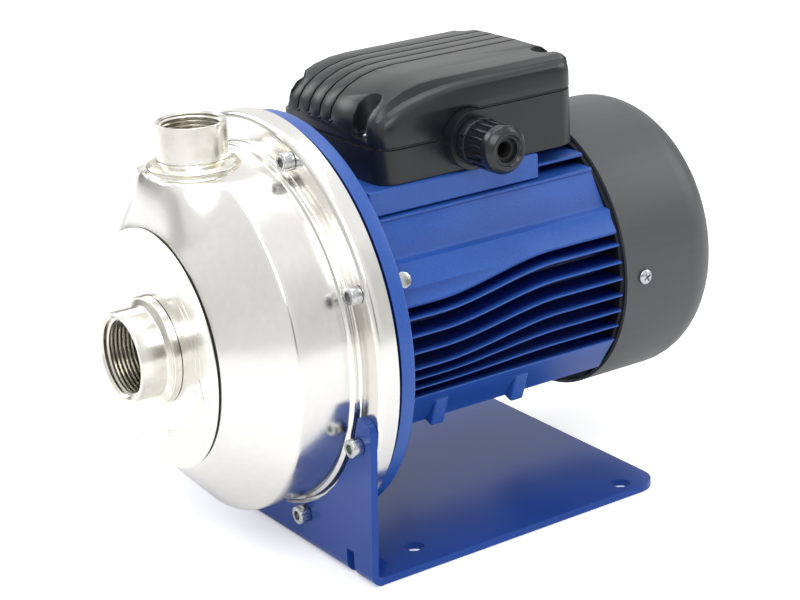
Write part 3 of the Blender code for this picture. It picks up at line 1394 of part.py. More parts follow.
# Cable gland: body in the box wall, seal and nut. Distances are from the box's middle outwards
def make_gland():
    root = BOX_HALF_WIDTH - BOX_WALL - 2
    face = BOX_HALF_WIDTH + GLAND_BOSS_LENGTH + GAP
    shoulder = face + GLAND_BODY_LENGTH
    nut_start = shoulder + GAP
    nut_end = nut_start + GLAND_NUT_LENGTH
    body_end = nut_end - 4.0
    seal = GLAND_HOLE + GLAND_SEAL_WALL
    bore = seal + GAP
    neck = bore + GLAND_NECK_WALL
    lip = GLAND_HOLE + 1.0
    seal_start = body_end - GLAND_SEAL_LENGTH
    body = turned("gland_body", [
        (root, GLAND_HOLE + 1.5), (root, GLAND_THREAD), (face, GLAND_THREAD), (face, GLAND_BODY_RADIUS),
        (shoulder, GLAND_BODY_RADIUS), (shoulder, neck), (body_end, neck), (body_end, bore),
        (seal_start - GAP, bore), (seal_start - 1.5, GLAND_HOLE + 1.5),
    ], MEDIUM_COUNT + 4)
    nut = turned("gland_nut", rounded([
        (nut_start, neck + GAP, 0), (nut_start, GLAND_NUT_RADIUS, 0), (nut_end, GLAND_NUT_RADIUS, 2.6),
        (nut_end, lip, 0), (nut_end - 2.5, lip, 0), (nut_end - 3.6, neck + GAP, 0),
    ], 2, closed=True), MEDIUM_COUNT + 4)
    ring = turned("gland_seal", [
        (seal_start, GLAND_HOLE), (seal_start, seal), (body_end - 0.1, seal), (body_end - 0.1, GLAND_HOLE),
    ], MEDIUM_COUNT)
    for piece in (body, nut, ring):
        piece.location = (GLAND_STATION * MM, 0, GLAND_HEIGHT * MM)
        piece.rotation_euler = (0, 0, -math.pi / 2)
    black_plastic(body)
    black_plastic(nut)
    rubber(ring)


# Bracket: one bent sheet, an upright plate behind the screws and a long foot
def make_bracket():
    low = -SHAFT_HEIGHT
    bend_out = SHEET + SHEET_BEND
    section = rounded([
        (PLATE_FRONT, PLATE_TOP, 0), (PLATE_FRONT, low, bend_out), (FOOT_BACK, low, 0),
        (FOOT_BACK, low + SHEET, 0), (PLATE_BACK, low + SHEET, SHEET_BEND), (PLATE_BACK, PLATE_TOP, 0)], 5, closed=True)
    bracket = extruded("bracket", [section], -PLATE_TOP_HALF_WIDTH, PLATE_TOP_HALF_WIDTH, "Y")
    for side in (-1, 1):
        y = side * GUSSET_SIDE
        leg = GUSSET_LEG
        web = extruded("web", [[
            (PLATE_BACK - 1, low + SHEET - 1), (PLATE_BACK + leg, low + SHEET - 1), (PLATE_BACK + leg, low + SHEET + 0.2),
            (PLATE_BACK + 0.2, low + SHEET + leg), (PLATE_BACK - 1, low + SHEET + leg)]],
            y - GUSSET_WIDTH / 2, y + GUSSET_WIDTH / 2, "Y")
        add(bracket, web)
        dent = extruded("dent", [[
            (PLATE_FRONT - 5, low + leg), (PLATE_FRONT, low + leg), (PLATE_FRONT + leg * 0.9, low + 0.6),
            (PLATE_FRONT + leg * 0.9, low - 5), (PLATE_FRONT - 5, low - 5)]],
            y - GUSSET_WIDTH / 2 + 2, y + GUSSET_WIDTH / 2 - 2, "Y")
        cut(bracket, dent)
    top = PLATE_TOP
    upright = rounded([
        (-FOOT_FRONT_HALF_WIDTH, low - 5, 0), (FOOT_FRONT_HALF_WIDTH, low - 5, 0),
        (PLATE_TOP_HALF_WIDTH, top, PLATE_CORNER), (on_envelope(top, PLATE_CUT), top, 0)], 3)
    sweep = math.asin(-top / PLATE_CUT)
    arc = []
    for step in range(1, 20):
        angle = -sweep - (math.pi - 2 * sweep) * step / 20
        arc.append((PLATE_CUT * math.cos(angle), PLATE_CUT * math.sin(angle)))
    left = rounded([
        (-on_envelope(top, PLATE_CUT), top, 0), (-PLATE_TOP_HALF_WIDTH, top, PLATE_CORNER),
        (-FOOT_FRONT_HALF_WIDTH, low - 5, 0)], 3)
    front_view = upright + arc + left[:-1]
    combine(bracket, extruded("front_view", [front_view], PLATE_FRONT - 10, FOOT_BACK + 10, "X"), "INTERSECT")
    wide = PLATE_TOP_HALF_WIDTH + 5
    knee = PLATE_FRONT + bend_out
    top_view = rounded([
        (PLATE_FRONT - 5, -wide, 0), (knee - 2, -wide, 0), (knee, -FOOT_FRONT_HALF_WIDTH, 0),
        (FOOT_BACK, -FOOT_BACK_HALF_WIDTH, FOOT_CORNER), (FOOT_BACK, FOOT_BACK_HALF_WIDTH, FOOT_CORNER),
        (knee, FOOT_FRONT_HALF_WIDTH, 0), (knee - 2, wide, 0), (PLATE_FRONT - 5, wide, 0)], 5, closed=True)
    holes = [circle(FOOT_HOLE_RADIUS, SMALL_COUNT, (x, y * side)) for x, y in FOOT_HOLES for side in (-1, 1)]
    foot_view = extruded("top_view", [top_view, *holes], low - 5, top + 5, "Z")
    combine(bracket, foot_view, "INTERSECT")
    ends = []
    for degrees in screw_angles():
        if is_bracket_screw(degrees):
            side, height = polar(SCREW_CIRCLE, degrees)
            ends.append(((PLATE_FRONT - 5, side, height), (PLATE_BACK + 5, side, height)))
    cut(bracket, rods("screw_holes", ends, SCREW_RADIUS + GAP, SCREW_SIDE_COUNT))
    return blue_paint(bracket)


def place_pieces():
    """Hang every piece on the shaft line, and what turns on the rotor's own axis."""
    line = link(bpy.data.objects.new("shaft_line", None), PIECES)
    line.location = (-FOOT_MIDDLE * MM, 0, SHAFT_HEIGHT * MM)
    rotor = link(bpy.data.objects.new("rotor_axis", None), PIECES)
    rotor.parent = line
    turning = {
        "shaft", "rotor_core", "impeller", "impeller_nut", "seal_head", "seal_spring", "slinger_ring",
        "front_bearing_inner", "rear_bearing_inner", "cooling_fan", "fan_clip",
    }
    for piece in PIECES.objects:
        if piece.type == "MESH":
            piece.parent = rotor if piece.name in turning else line


for item in list(bpy.data.objects):
    bpy.data.objects.remove(item)
PIECES = collection("surface_pump")
make_casing()
make_suction_end()
make_discharge_port()
make_plug("fill_plug", FILL_PLUG_ANGLE)
make_plug("drain_plug", DRAIN_PLUG_ANGLE)
make_casing_screws()
make_seal_housing()
make_casing_seal()
make_shaft_seal()
make_impeller()
make_impeller_fittings()
make_shaft()
make_bearing("front", FRONT_BEARING)
make_bearing("rear", REAR_BEARING)
make_motor_adapter()
make_motor_frame()
make_earth_screw()
make_stator()
make_end_shield()
make_cooling_fan()
make_fan_cover()
make_box_base()
make_box_cover()
make_box_screws()
make_box_contents()
make_gland()
make_bracket()
place_pieces()
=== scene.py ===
import math

import bpy
from mathutils import Matrix, Vector


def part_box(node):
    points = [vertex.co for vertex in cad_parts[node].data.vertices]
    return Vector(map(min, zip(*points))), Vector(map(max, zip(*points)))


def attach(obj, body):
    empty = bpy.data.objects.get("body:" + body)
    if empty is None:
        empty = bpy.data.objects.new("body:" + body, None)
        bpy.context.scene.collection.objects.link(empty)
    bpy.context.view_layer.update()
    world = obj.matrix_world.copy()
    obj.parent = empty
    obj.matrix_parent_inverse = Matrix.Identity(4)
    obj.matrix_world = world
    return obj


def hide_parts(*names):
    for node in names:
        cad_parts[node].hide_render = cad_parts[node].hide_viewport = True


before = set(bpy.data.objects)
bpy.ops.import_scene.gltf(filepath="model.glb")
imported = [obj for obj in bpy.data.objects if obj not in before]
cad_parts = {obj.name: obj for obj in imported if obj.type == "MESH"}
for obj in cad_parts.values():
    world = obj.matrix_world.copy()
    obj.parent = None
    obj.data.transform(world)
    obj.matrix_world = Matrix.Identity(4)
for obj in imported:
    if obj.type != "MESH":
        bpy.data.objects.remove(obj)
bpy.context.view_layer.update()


# Camera and studio. The pump stands on a white sweep under four soft boxes. Grey flags round
# the room, which only shiny surfaces see, give the polished steel its soft streaks.
MM = 0.001
NOSE_TO_BEAD = 60.5
SHAFT = (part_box("motor_adapter")[0].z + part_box("motor_adapter")[1].z) / 2
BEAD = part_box("casing")[0].x + NOSE_TO_BEAD * MM
CAMERA_PLACE = (-0.6628, -1.0065, 0.5328)
CAMERA_YAW = 56.887
CAMERA_PITCH = 19.423
CAMERA_ROLL = -2.852
CAMERA_LENS = 103.455
ROOM_LIGHT = 0.6
FLAG_GREY = (0.60, 0.60, 0.59, 1.0)
FLAG_WARMTH = 0.985
FLOOR_COLOUR = "#FFFFFF"
FLOOR_GLOW = 0.42
FLOOR_MIRRORED_GLOW = 0.05
LAMP_TARGET = (0.0, 0.0, 0.12)
LAMPS = (
    ("key_box", (-0.9, -1.2, 1.6), 1.2, 14.8),
    ("fill_box", (1.6, -0.6, 1.1), 1.0, 8.0),
    ("top_box", (0.1, 0.3, 1.9), 1.4, 12.0),
    ("far_box", (-0.55, 1.25, 0.95), 0.7, 5.0))

# Each flag's place, as a share of the way round the room, and its brightness.
FLAGS = (
    (0.06, 0.85), (0.13, 0.8), (0.19, 0.22), (0.215, 0.2), (0.25, 0.85), (0.33, 0.8), (0.37, 0.16),
    (0.395, 0.16), (0.43, 0.8), (0.505, 0.75), (0.525, 0.08), (0.56, 0.08), (0.585, 0.9), (0.7, 1.0),
    (0.75, 0.3), (0.8, 0.3), (0.86, 0.7))


def colour(code):
    """Linear colour of an sRGB hex value."""
    parts = [int(code[i:i + 2], 16) / 255 for i in (1, 3, 5)]
    return [*(p / 12.92 if p <= 0.04045 else ((p + 0.055) / 1.055) ** 2.4 for p in parts), 1.0]


def add(tree, kind, inputs=None, **settings):
    """Add a node. Each input is a value, or the socket that feeds it."""
    node = tree.nodes.new(kind)
    for name, value in settings.items():
        setattr(node, name, value)
    for name, value in (inputs or {}).items():
        if isinstance(value, bpy.types.NodeSocket):
            tree.links.new(value, node.inputs[name])
        else:
            node.inputs[name].default_value = value
    return node


yaw, pitch, roll = (math.radians(a) for a in (CAMERA_YAW, CAMERA_PITCH, CAMERA_ROLL))
ahead = Vector((math.cos(yaw) * math.cos(pitch), math.sin(yaw) * math.cos(pitch), -math.sin(pitch)))
level = Vector((math.sin(yaw), -math.cos(yaw), 0.0))
above = level.cross(ahead)
right = math.cos(roll) * level + math.sin(roll) * above
top = -math.sin(roll) * level + math.cos(roll) * above
camera_data = bpy.data.cameras.new("camera")
camera_data.sensor_width = 36.0
camera_data.lens = CAMERA_LENS
camera = bpy.data.objects.new("camera", camera_data)
bpy.context.scene.collection.objects.link(camera)
turn = Matrix((right, top, -ahead)).transposed().to_4x4()
camera.matrix_world = Matrix.Translation(CAMERA_PLACE) @ turn
bpy.context.scene.camera = camera
bpy.context.scene.view_settings.view_transform = "Standard"

# The room: white where the camera looks, and white with soft grey flags where the metal looks.
world = bpy.data.worlds.new("studio")
bpy.context.scene.world = world
world.use_nodes = True
sky = world.node_tree
rays = add(sky, "ShaderNodeLightPath").outputs
shiny = add(sky, "ShaderNodeMath", {0: rays["Is Glossy Ray"], 1: rays["Is Transmission Ray"]},
            operation="MAXIMUM").outputs[0]
seen = add(sky, "ShaderNodeMath", {0: rays["Is Camera Ray"], 1: shiny}, operation="MAXIMUM").outputs[0]
strength = add(sky, "ShaderNodeMapRange", {"Value": seen, "To Min": ROOM_LIGHT, "To Max": 1.0})
way = add(sky, "ShaderNodeSeparateXYZ", {0: add(sky, "ShaderNodeTexCoord").outputs["Generated"]})
side = add(sky, "ShaderNodeMath", {0: way.outputs["Y"], 1: way.outputs["X"]}, operation="ARCTAN2")
flag = add(sky, "ShaderNodeValToRGB", {0: add(sky, "ShaderNodeMapRange", {
    "Value": side.outputs[0], "From Min": -math.pi, "From Max": math.pi}).outputs[0]})
stops = flag.color_ramp.elements
for stop, place in zip(stops, (0.0, 1.0)):
    stop.position = place
    stop.color = FLAG_GREY
for place, shade in FLAGS:
    stops.new(place).color = (shade, shade, shade * FLAG_WARMTH, 1.0)
lift = add(sky, "ShaderNodeMapRange", {"Value": way.outputs["Z"], "From Min": 0.25, "From Max": 0.7})
room = add(sky, "ShaderNodeMix", {0: lift.outputs[0], 6: flag.outputs[0], 7: colour("#FFFFFF")},
           data_type="RGBA").outputs[2]
wall = add(sky, "ShaderNodeMix", {0: shiny, 6: colour("#FFFFFF"), 7: room}, data_type="RGBA").outputs[2]
sky.links.new(wall, sky.nodes["Background"].inputs["Color"])
sky.links.new(strength.outputs[0], sky.nodes["Background"].inputs["Strength"])

# The floor: matt white paper that glows a little, so that it stays as white as the room.
bpy.ops.object.select_all(action="DESELECT")
bpy.ops.mesh.primitive_plane_add(size=8.0, location=(0.0, 0.0, -0.0005))
floor = bpy.context.object
floor.name = "floor"
paper = bpy.data.materials.new("studio_paper")
paper.use_nodes = True
tree = paper.node_tree
shader = tree.nodes["Principled BSDF"]
shader.inputs["Base Color"].default_value = colour(FLOOR_COLOUR)
shader.inputs["Roughness"].default_value = 0.9
shader.inputs["Emission Color"].default_value = (1.0, 1.0, 1.0, 1.0)
rays = add(tree, "ShaderNodeLightPath").outputs
direct = add(tree, "ShaderNodeMath", {0: rays["Is Camera Ray"], 1: FLOOR_GLOW}, operation="MULTIPLY")
glow = add(tree, "ShaderNodeMath", {0: rays["Is Glossy Ray"], 1: FLOOR_MIRRORED_GLOW, 2: direct.outputs[0]},
           operation="MULTIPLY_ADD")
tree.links.new(glow.outputs[0], shader.inputs["Emission Strength"])
floor.data.materials.append(paper)

for name, place, size, power in LAMPS:
    lamp = bpy.data.lights.new(name, "AREA")
    lamp.size = size
    lamp.energy = power
    holder = bpy.data.objects.new(name, lamp)
    bpy.context.scene.collection.objects.link(holder)
    holder.location = place
    holder.rotation_euler = (Vector(LAMP_TARGET) - Vector(place)).to_track_quat("-Z", "Y").to_euler()


# Casing: a bowl deep drawn from 1.5 mm stainless sheet, with a cone-like dome, a crisp fold, a
# bead and a flange with a turned rim. The front of it swells into a seat for the top socket.
# It is spun on the shaft line, and everything is drawn in millimetres from the flange bead.
CASING_EDGE = (-60.5, 54.3)
CASING_BENDS = (
    (-60.5, 64.3, 4.0), (-32.4, 95.4, 3.0), (-3.6, 95.4, 1.2), (-2.6, 97.4, 0.8),
    (-0.9, 97.4, 0.8), (0.1, 96.0, 0.5), (2.5, 96.4, 2.0), (2.5, 113.0, 3.2))
CASING_RIM = (14.0, 113.0)
CASING_SHEET = 1.5
CASING_STEPS = 288
NOSE_BACK = -40.0
NOSE_STEP = 0.7
SIDE_STEP = 1.8
PORT_STATION = -31.5
SEAT_HEIGHT = 91.3
SEAT_RADIUS = 27.0
SEAT_REACH = 41.0
SEAT_LOW = 30.0
SEAT_FRONT = -60.0
SEAT_FADE = 3.0
EASED_REACH = 49.0
EASED = (-60.3, -10.0)


def rounded(corners, facets=6):
    """Points along a profile of (x, r, bend) corners, with each bend drawn as an arc."""
    points = []
    for index, (x, r, bend) in enumerate(corners):
        here = Vector((x, r))
        if not bend:
            points.append(here)
            continue
        before = (Vector(corners[index - 1][:2]) - here).normalized()
        after = (Vector(corners[(index + 1) % len(corners)][:2]) - here).normalized()
        half = before.angle(after) / 2
        centre = here + (before + after).normalized() * bend / math.sin(half)
        first = here + before * bend / math.tan(half) - centre
        last = here + after * bend / math.tan(half) - centre
        sweep = first.angle_signed(last)
        for step in range(facets + 1):
            points.append(centre + Matrix.Rotation(-sweep * step / facets, 2) @ first)
    return points


def draw(name, points):
    """A chain of edges through the points, extruded from one to the next."""
    bpy.ops.object.select_all(action="DESELECT")
    bpy.ops.mesh.primitive_plane_add(size=1.0)
    piece = bpy.context.object
    piece.name = name
    bpy.ops.object.mode_set(mode="EDIT")
    bpy.ops.mesh.merge(type="CENTER")
    bpy.ops.transform.translate(value=points[0])
    for here, there in zip(points, points[1:]):
        bpy.ops.mesh.extrude_region_move(TRANSFORM_OT_translate={"value": Vector(there) - Vector(here)})
    return piece


def turned(name, profile, steps, axis=(1.0, 0.0, 0.0), centre=(0.0, 0.0, 0.0)):
    """A profile of (along, radius) points spun about an axis, left in object mode."""
    along = Vector(axis)
    outward = Vector((0.0, 0.0, 1.0)) if abs(along.z) < 0.5 else Vector((1.0, 0.0, 0.0))
    piece = draw(name, [Vector(centre) + along * a + outward * r for a, r in profile])
    bpy.ops.mesh.select_all(action="SELECT")
    bpy.ops.mesh.spin(steps=steps, angle=math.tau, center=centre, axis=axis)
    bpy.ops.mesh.select_all(action="SELECT")
    bpy.ops.mesh.remove_doubles(threshold=0.002)
    bpy.ops.mesh.normals_make_consistent(inside=False)
    bpy.ops.object.mode_set(mode="OBJECT")
    return piece


def modify(piece, kind, **settings):
    """Add a modifier, set it and apply it."""
    bpy.context.view_layer.objects.active = piece
    piece.select_set(True)
    step = piece.modifiers.new(kind.lower(), kind)
    for name, value in settings.items():
        setattr(step, name, value)
    bpy.ops.object.modifier_apply(modifier=step.name)


def settle(piece, place=(0.0, 0.0, 0.0), turn=(0.0, 0.0, 0.0), size=1.0):
    """Turn, size and move a piece, and write that into its mesh."""
    bpy.ops.object.select_all(action="DESELECT")
    bpy.context.view_layer.objects.active = piece
    piece.select_set(True)
    piece.location = place
    piece.rotation_euler = turn
    piece.scale = (size, size, size)
    bpy.ops.object.transform_apply(location=True, rotation=True, scale=True)


def dress(piece, body, nodes, material, crease=35.0, weighted=False):
    """Put a drawn piece in its place, smooth it, paint it and let it stand in for its nodes."""
    settle(piece, (BEAD, 0.0, SHAFT), size=MM)
    bpy.ops.object.shade_smooth_by_angle(angle=math.radians(crease))
    if weighted:
        modify(piece, "WEIGHTED_NORMAL", keep_sharp=True)
    piece.data.materials.clear()
    piece.data.materials.append(material)
    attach(piece, body)
    if nodes:
        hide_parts(*nodes)


def new_material(name):
    """A material with its shader, and the place on the object in millimetres from the bead."""
    material = bpy.data.materials.new(name)
    material.use_nodes = True
    tree = material.node_tree
    where = add(tree, "ShaderNodeTexCoord").outputs["Object"]
    place = add(tree, "ShaderNodeMapping", {
        "Vector": where, "Location": (-BEAD / MM, 0.0, -SHAFT / MM), "Scale": (1 / MM, 1 / MM, 1 / MM)})
    return material, tree, tree.nodes["Principled BSDF"], place.outputs[0]


def from_shaft(tree, place):
    """The coordinates of a place, and its distance from the shaft line."""
    split = add(tree, "ShaderNodeSeparateXYZ", {0: place}).outputs
    around = add(tree, "ShaderNodeCombineXYZ", {"X": split["Y"], "Y": split["Z"]})
    return split, add(tree, "ShaderNodeVectorMath", {0: around.outputs[0]}, operation="LENGTH").outputs["Value"]


def paint(tree, shader, share, under, over):
    """Lay one colour over another by a share from 0 to 1. Either may be what an earlier coat gave."""
    coats = [coat if isinstance(coat, bpy.types.NodeSocket) else colour(coat) for coat in (under, over)]
    mixed = add(tree, "ShaderNodeMix", {0: share, 6: coats[0], 7: coats[1]}, data_type="RGBA").outputs[2]
    tree.links.new(mixed, shader.inputs["Base Color"])
    return mixed


def roughen(tree, shader, source, low, high, height, distance, detail=None):
    """Let a pattern from 0 to 1 set the roughness, and raise or sink the surface."""
    spread = add(tree, "ShaderNodeMapRange", {"Value": source, "To Min": low, "To Max": high})
    tree.links.new(spread.outputs[0], shader.inputs["Roughness"])
    bump = add(tree, "ShaderNodeBump", {"Height": detail or source, "Strength": height, "Distance": distance})
    tree.links.new(bump.outputs[0], shader.inputs["Normal"])


# Polished deep-drawn stainless: bright, with faint rings from the forming roll, slow waves in
# the sheet and a very light haze of handling.
stainless, tree, shader, place = new_material("polished_stainless")
shader.inputs["Metallic"].default_value = 1.0
split, reach = from_shaft(tree, place)
ring_place = add(tree, "ShaderNodeCombineXYZ", {"X": split["X"], "Y": reach})
rings = add(tree, "ShaderNodeTexNoise", {"Vector": ring_place.outputs[0], "Scale": 1.1, "Detail": 3.0})
waves = add(tree, "ShaderNodeTexNoise", {"Vector": place, "Scale": 0.035, "Detail": 2.0})
haze = add(tree, "ShaderNodeTexNoise", {"Vector": place, "Scale": 0.25, "Detail": 5.0}).outputs["Fac"]
relief = add(tree, "ShaderNodeMath", {0: rings.outputs["Fac"], 1: 0.06, 2: waves.outputs["Fac"]},
             operation="MULTIPLY_ADD")
paint(tree, shader, haze, "#EEEDE9", "#E6E4DF")
roughen(tree, shader, haze, 0.15, 0.22, 0.3, 1.0 * MM, relief.outputs[0])

path = [Vector(CASING_EDGE)]
for point in rounded([(*CASING_EDGE, 0), *CASING_BENDS, (*CASING_RIM, 0)])[1:]:
    length = NOSE_STEP if point.x < NOSE_BACK else SIDE_STEP
    pieces = max(1, round((point - path[-1]).length / length))
    path += [path[-1].lerp(point, (step + 1) / pieces) for step in range(pieces)]
casing = turned("casing_shell", path, CASING_STEPS)
for vertex in casing.data.vertices:
    x, y, z = vertex.co
    if z > SEAT_LOW and x > SEAT_FRONT:
        away = math.hypot(x - PORT_STATION, y)
        share = min(max((SEAT_REACH - away) / (SEAT_REACH - SEAT_RADIUS), 0.0), 1.0)
        share *= min((x - SEAT_FRONT) / SEAT_FADE, 1.0)
        share = share * share * (3 - 2 * share)
        vertex.co.z += max(SEAT_HEIGHT - z, 0.0) * share
bpy.ops.object.mode_set(mode="EDIT")
bpy.ops.mesh.select_all(action="DESELECT")
bpy.ops.object.mode_set(mode="OBJECT")
for vertex in casing.data.vertices:
    near = math.hypot(vertex.co.x - PORT_STATION, vertex.co.y) < EASED_REACH
    vertex.select = near and vertex.co.z > SEAT_LOW and EASED[0] < vertex.co.x < EASED[1]
bpy.ops.object.mode_set(mode="EDIT")
bpy.ops.mesh.vertices_smooth(factor=0.5, repeat=12)
bpy.ops.object.mode_set(mode="OBJECT")
modify(casing, "SOLIDIFY", thickness=CASING_SHEET, offset=-1.0)
dress(casing, "pump_body", ["casing"], stainless)


# Suction plate and socket: a pressed stainless disc seam-welded to the bowl, and a bar-turned
# socket with a Rp 1 1/4 thread welded through its middle. The disc keeps a row of small dots
# and a faint etched arrow that shows the way round.
PLATE_FACE = -62.3
PLATE_BACK = -60.8
PLATE_RADIUS = 64.3
PLATE_SEAM = 63.0
SEAM_FRONT = PLATE_FACE + 0.62
SEAM_BACK = CASING_EDGE[0] + 0.3
PORT_RIM = -83.0
PORT_TAIL = -56.0
PORT_RADIUS = 24.0
PORT_BORE = 20.95
PORT_CHAMFER = 1.2
PORT_COLLAR = (-66.6, 28.5)
THREAD_PITCH = 2.309
THREAD_TURNS = 8
THREAD_DEPTH = 1.35
THREAD_SINK = 0.5
THREAD_CREST = 0.3

plate = turned("suction_disc", rounded([
    (PLATE_BACK, PORT_RADIUS + 0.3, 0), (PLATE_FACE, PORT_RADIUS + 0.3, 0), (PLATE_FACE, PLATE_RADIUS, 0.4),
    (PLATE_FACE + 0.55, PLATE_RADIUS, 0.1), (PLATE_FACE + 0.6, PLATE_SEAM, 0), (PLATE_BACK, PLATE_SEAM, 0),
    (PLATE_BACK, PORT_RADIUS + 0.3, 0)]), 192)
seam = turned("plate_seam", [
    (SEAM_FRONT, PLATE_SEAM - 0.6), (SEAM_FRONT, PLATE_SEAM + 0.5), (SEAM_BACK, PLATE_SEAM + 0.7),
    (SEAM_BACK, PLATE_SEAM - 0.6), (SEAM_FRONT, PLATE_SEAM - 0.6)], 192)

# The same steel, fresh from the lathe: fine turning lines, faint stains, and a straw heat tint
# on the socket's foot, next to the weld.
turned_steel, tree, shader, place = new_material("turned_stainless")
shader.inputs["Metallic"].default_value = 1.0
split, reach = from_shaft(tree, place)
cut_place = add(tree, "ShaderNodeCombineXYZ", {"X": split["X"], "Y": reach})
lines = add(tree, "ShaderNodeTexNoise", {"Vector": cut_place.outputs[0], "Scale": 2.6, "Detail": 3.0})
stain = add(tree, "ShaderNodeTexNoise", {"Vector": place, "Scale": 0.11, "Detail": 4.0}).outputs["Fac"]
patch = add(tree, "ShaderNodeMapRange", {"Value": stain, "From Min": 0.42, "From Max": 0.66}).outputs[0]
foot = add(tree, "ShaderNodeMath", {0: split["Z"], 1: 95.5, 2: 2.4}, operation="COMPARE")
straw = add(tree, "ShaderNodeMath", {0: foot.outputs[0], 1: patch}, operation="MULTIPLY")
steel = paint(tree, shader, patch, "#ECEAE4", "#E0DCD2")
paint(tree, shader, straw.outputs[0], steel, "#DACFB2")
roughen(tree, shader, stain, 0.14, 0.24, 0.2, 0.1 * MM, lines.outputs["Fac"])
dress(plate, "pump_body", ["suction_plate"], stainless)


def clouded(name, scale, detail, colours, rough, relief, **sockets):
    """A finish whose colour, gloss and relief all follow one cloudy pattern."""
    material, tree, shader, place = new_material(name)
    for socket, value in sockets.items():
        shader.inputs[socket.replace("_", " ")].default_value = value
    cloud = add(tree, "ShaderNodeTexNoise", {"Vector": place, "Scale": scale, "Detail": detail}).outputs["Fac"]
    paint(tree, shader, cloud, *colours)
    roughen(tree, shader, cloud, *rough, *relief)
    return material


# Seam ring in the narrow gap behind the disc: almost black as painted shade for the shadow in the gap, dull and
# crusty.
scale = clouded("seam_painted_shade", 1.4, 5.0, ("#0C0B0A", "#2A2622"), (0.5, 0.8), (0.5, 0.2 * MM), Metallic=0.6)
dress(seam, "pump_body", [], scale)

# The arrow's outline: two curved bands with a head, and the dots inside the seam, each a fine
# raised line or a small pip, as the press leaves them.
ARROWS = ((112.0, 186.0, 43.0, 47.5), (196.0, 262.0, 44.0, 47.0))
ARROW_POINTS = 40
ARROW_HEAD = 4.0
ARROW_TIP = 9.0
ARROW_LINE = 0.16
DOT_CIRCLE = 60.3
DOT_COUNT = 30
DOT_TURN = 0.4
DOT_RADIUS = 0.55
DOT_HEIGHT = 0.35


def join(pieces):
    """Make one mesh of the pieces, under the first one's name."""
    bpy.ops.object.select_all(action="DESELECT")
    for piece in pieces:
        piece.select_set(True)
    bpy.context.view_layer.objects.active = pieces[0]
    bpy.ops.object.join()
    return pieces[0]


marks = []
for start, end, inner, outer in ARROWS:
    turns = [math.radians(start + (end - start) * step / ARROW_POINTS) for step in range(ARROW_POINTS + 1)]
    first = turns[0]
    middle = (inner + outer) / 2
    band = [(outer * math.cos(t), outer * math.sin(t)) for t in turns]
    band += [(inner * math.cos(t), inner * math.sin(t)) for t in turns[::-1]]
    band += [(r * math.cos(t), r * math.sin(t)) for r, t in (
        (inner - ARROW_HEAD, first), (middle, first - ARROW_TIP / middle), (outer + ARROW_HEAD, first),
        (outer, first))]
    mark = draw("arrow_line", [(PLATE_FACE, side, height) for side, height in band])
    bpy.ops.object.mode_set(mode="OBJECT")
    bpy.ops.object.convert(target="CURVE")
    mark = bpy.context.object
    mark.data.bevel_depth = ARROW_LINE
    mark.data.bevel_resolution = 2
    mark.data.use_fill_caps = True
    bpy.ops.object.convert(target="MESH")
    marks.append(bpy.context.object)
for index in range(DOT_COUNT):
    angle = math.tau * (index + DOT_TURN) / DOT_COUNT
    bpy.ops.object.select_all(action="DESELECT")
    bpy.ops.mesh.primitive_uv_sphere_add(
        segments=12, ring_count=8, radius=DOT_RADIUS, scale=(DOT_HEIGHT, 1.0, 1.0),
        location=(PLATE_FACE, DOT_CIRCLE * math.cos(angle), DOT_CIRCLE * math.sin(angle)))
    bpy.ops.object.transform_apply(location=True, scale=True)
    marks.append(bpy.context.object)
press_marks = join(marks)
press_marks.name = "press_marks"
dress(press_marks, "pump_body", [], turned_steel)


def thread(name, start, radius, axis, centre):
    """A helical thread: one tooth, sunk a little in the wall, screwed along the axis."""
    along = Vector(axis)
    outward = Vector((0.0, 0.0, 1.0)) if abs(along.z) < 0.5 else Vector((1.0, 0.0, 0.0))
    middle = THREAD_PITCH * 0.5
    tooth = [(0.05, THREAD_SINK), (middle - THREAD_CREST, -THREAD_DEPTH),
             (middle + THREAD_CREST, -THREAD_DEPTH), (THREAD_PITCH - 0.05, THREAD_SINK)]
    points = [along * (start + a) + outward * (radius + r) for a, r in tooth]
    piece = draw(name, [*points, points[0]])
    bpy.ops.mesh.select_all(action="SELECT")
    bpy.ops.mesh.remove_doubles(threshold=0.002)
    bpy.ops.object.mode_set(mode="OBJECT")
    side = "X" if abs(along.x) > 0.5 else "Z"
    modify(piece, "SCREW", axis=side, angle=math.tau, screw_offset=THREAD_PITCH, iterations=THREAD_TURNS,
           steps=96, render_steps=96)
    bpy.ops.object.mode_set(mode="EDIT")
    bpy.ops.mesh.select_all(action="DESELECT")
    bpy.ops.mesh.select_non_manifold()
    bpy.ops.mesh.fill_holes(sides=4)
    bpy.ops.mesh.select_all(action="SELECT")
    bpy.ops.mesh.normals_make_consistent(inside=False)
    bpy.ops.transform.translate(value=centre)
    bpy.ops.object.mode_set(mode="OBJECT")
    return piece


port = turned("suction_socket", rounded([
    (PORT_TAIL, PORT_BORE, 0), (PORT_RIM + PORT_CHAMFER, PORT_BORE, 0), (PORT_RIM, PORT_BORE + PORT_CHAMFER, 0),
    (PORT_RIM, PORT_RADIUS, 0.5), (PORT_COLLAR[0] - 1.6, PORT_RADIUS, 1.2),
    (PORT_COLLAR[0], PORT_COLLAR[1] - 1.2, 1.4), (PORT_COLLAR[0], PORT_COLLAR[1], 0.6),
    (PLATE_FACE - 0.3, PORT_COLLAR[1] + 0.3, 0.0), (PLATE_FACE - 0.3, PORT_RADIUS, 0),
    (PORT_TAIL, PORT_RADIUS, 0), (PORT_TAIL, PORT_BORE, 0)]), 144)
coil = thread("suction_thread", PORT_RIM + 1.0, PORT_BORE, (1.0, 0.0, 0.0), (0.0, 0.0, 0.0))
dress(join([port, coil]), "pump_body", ["suction_port"], turned_steel, 28.0)


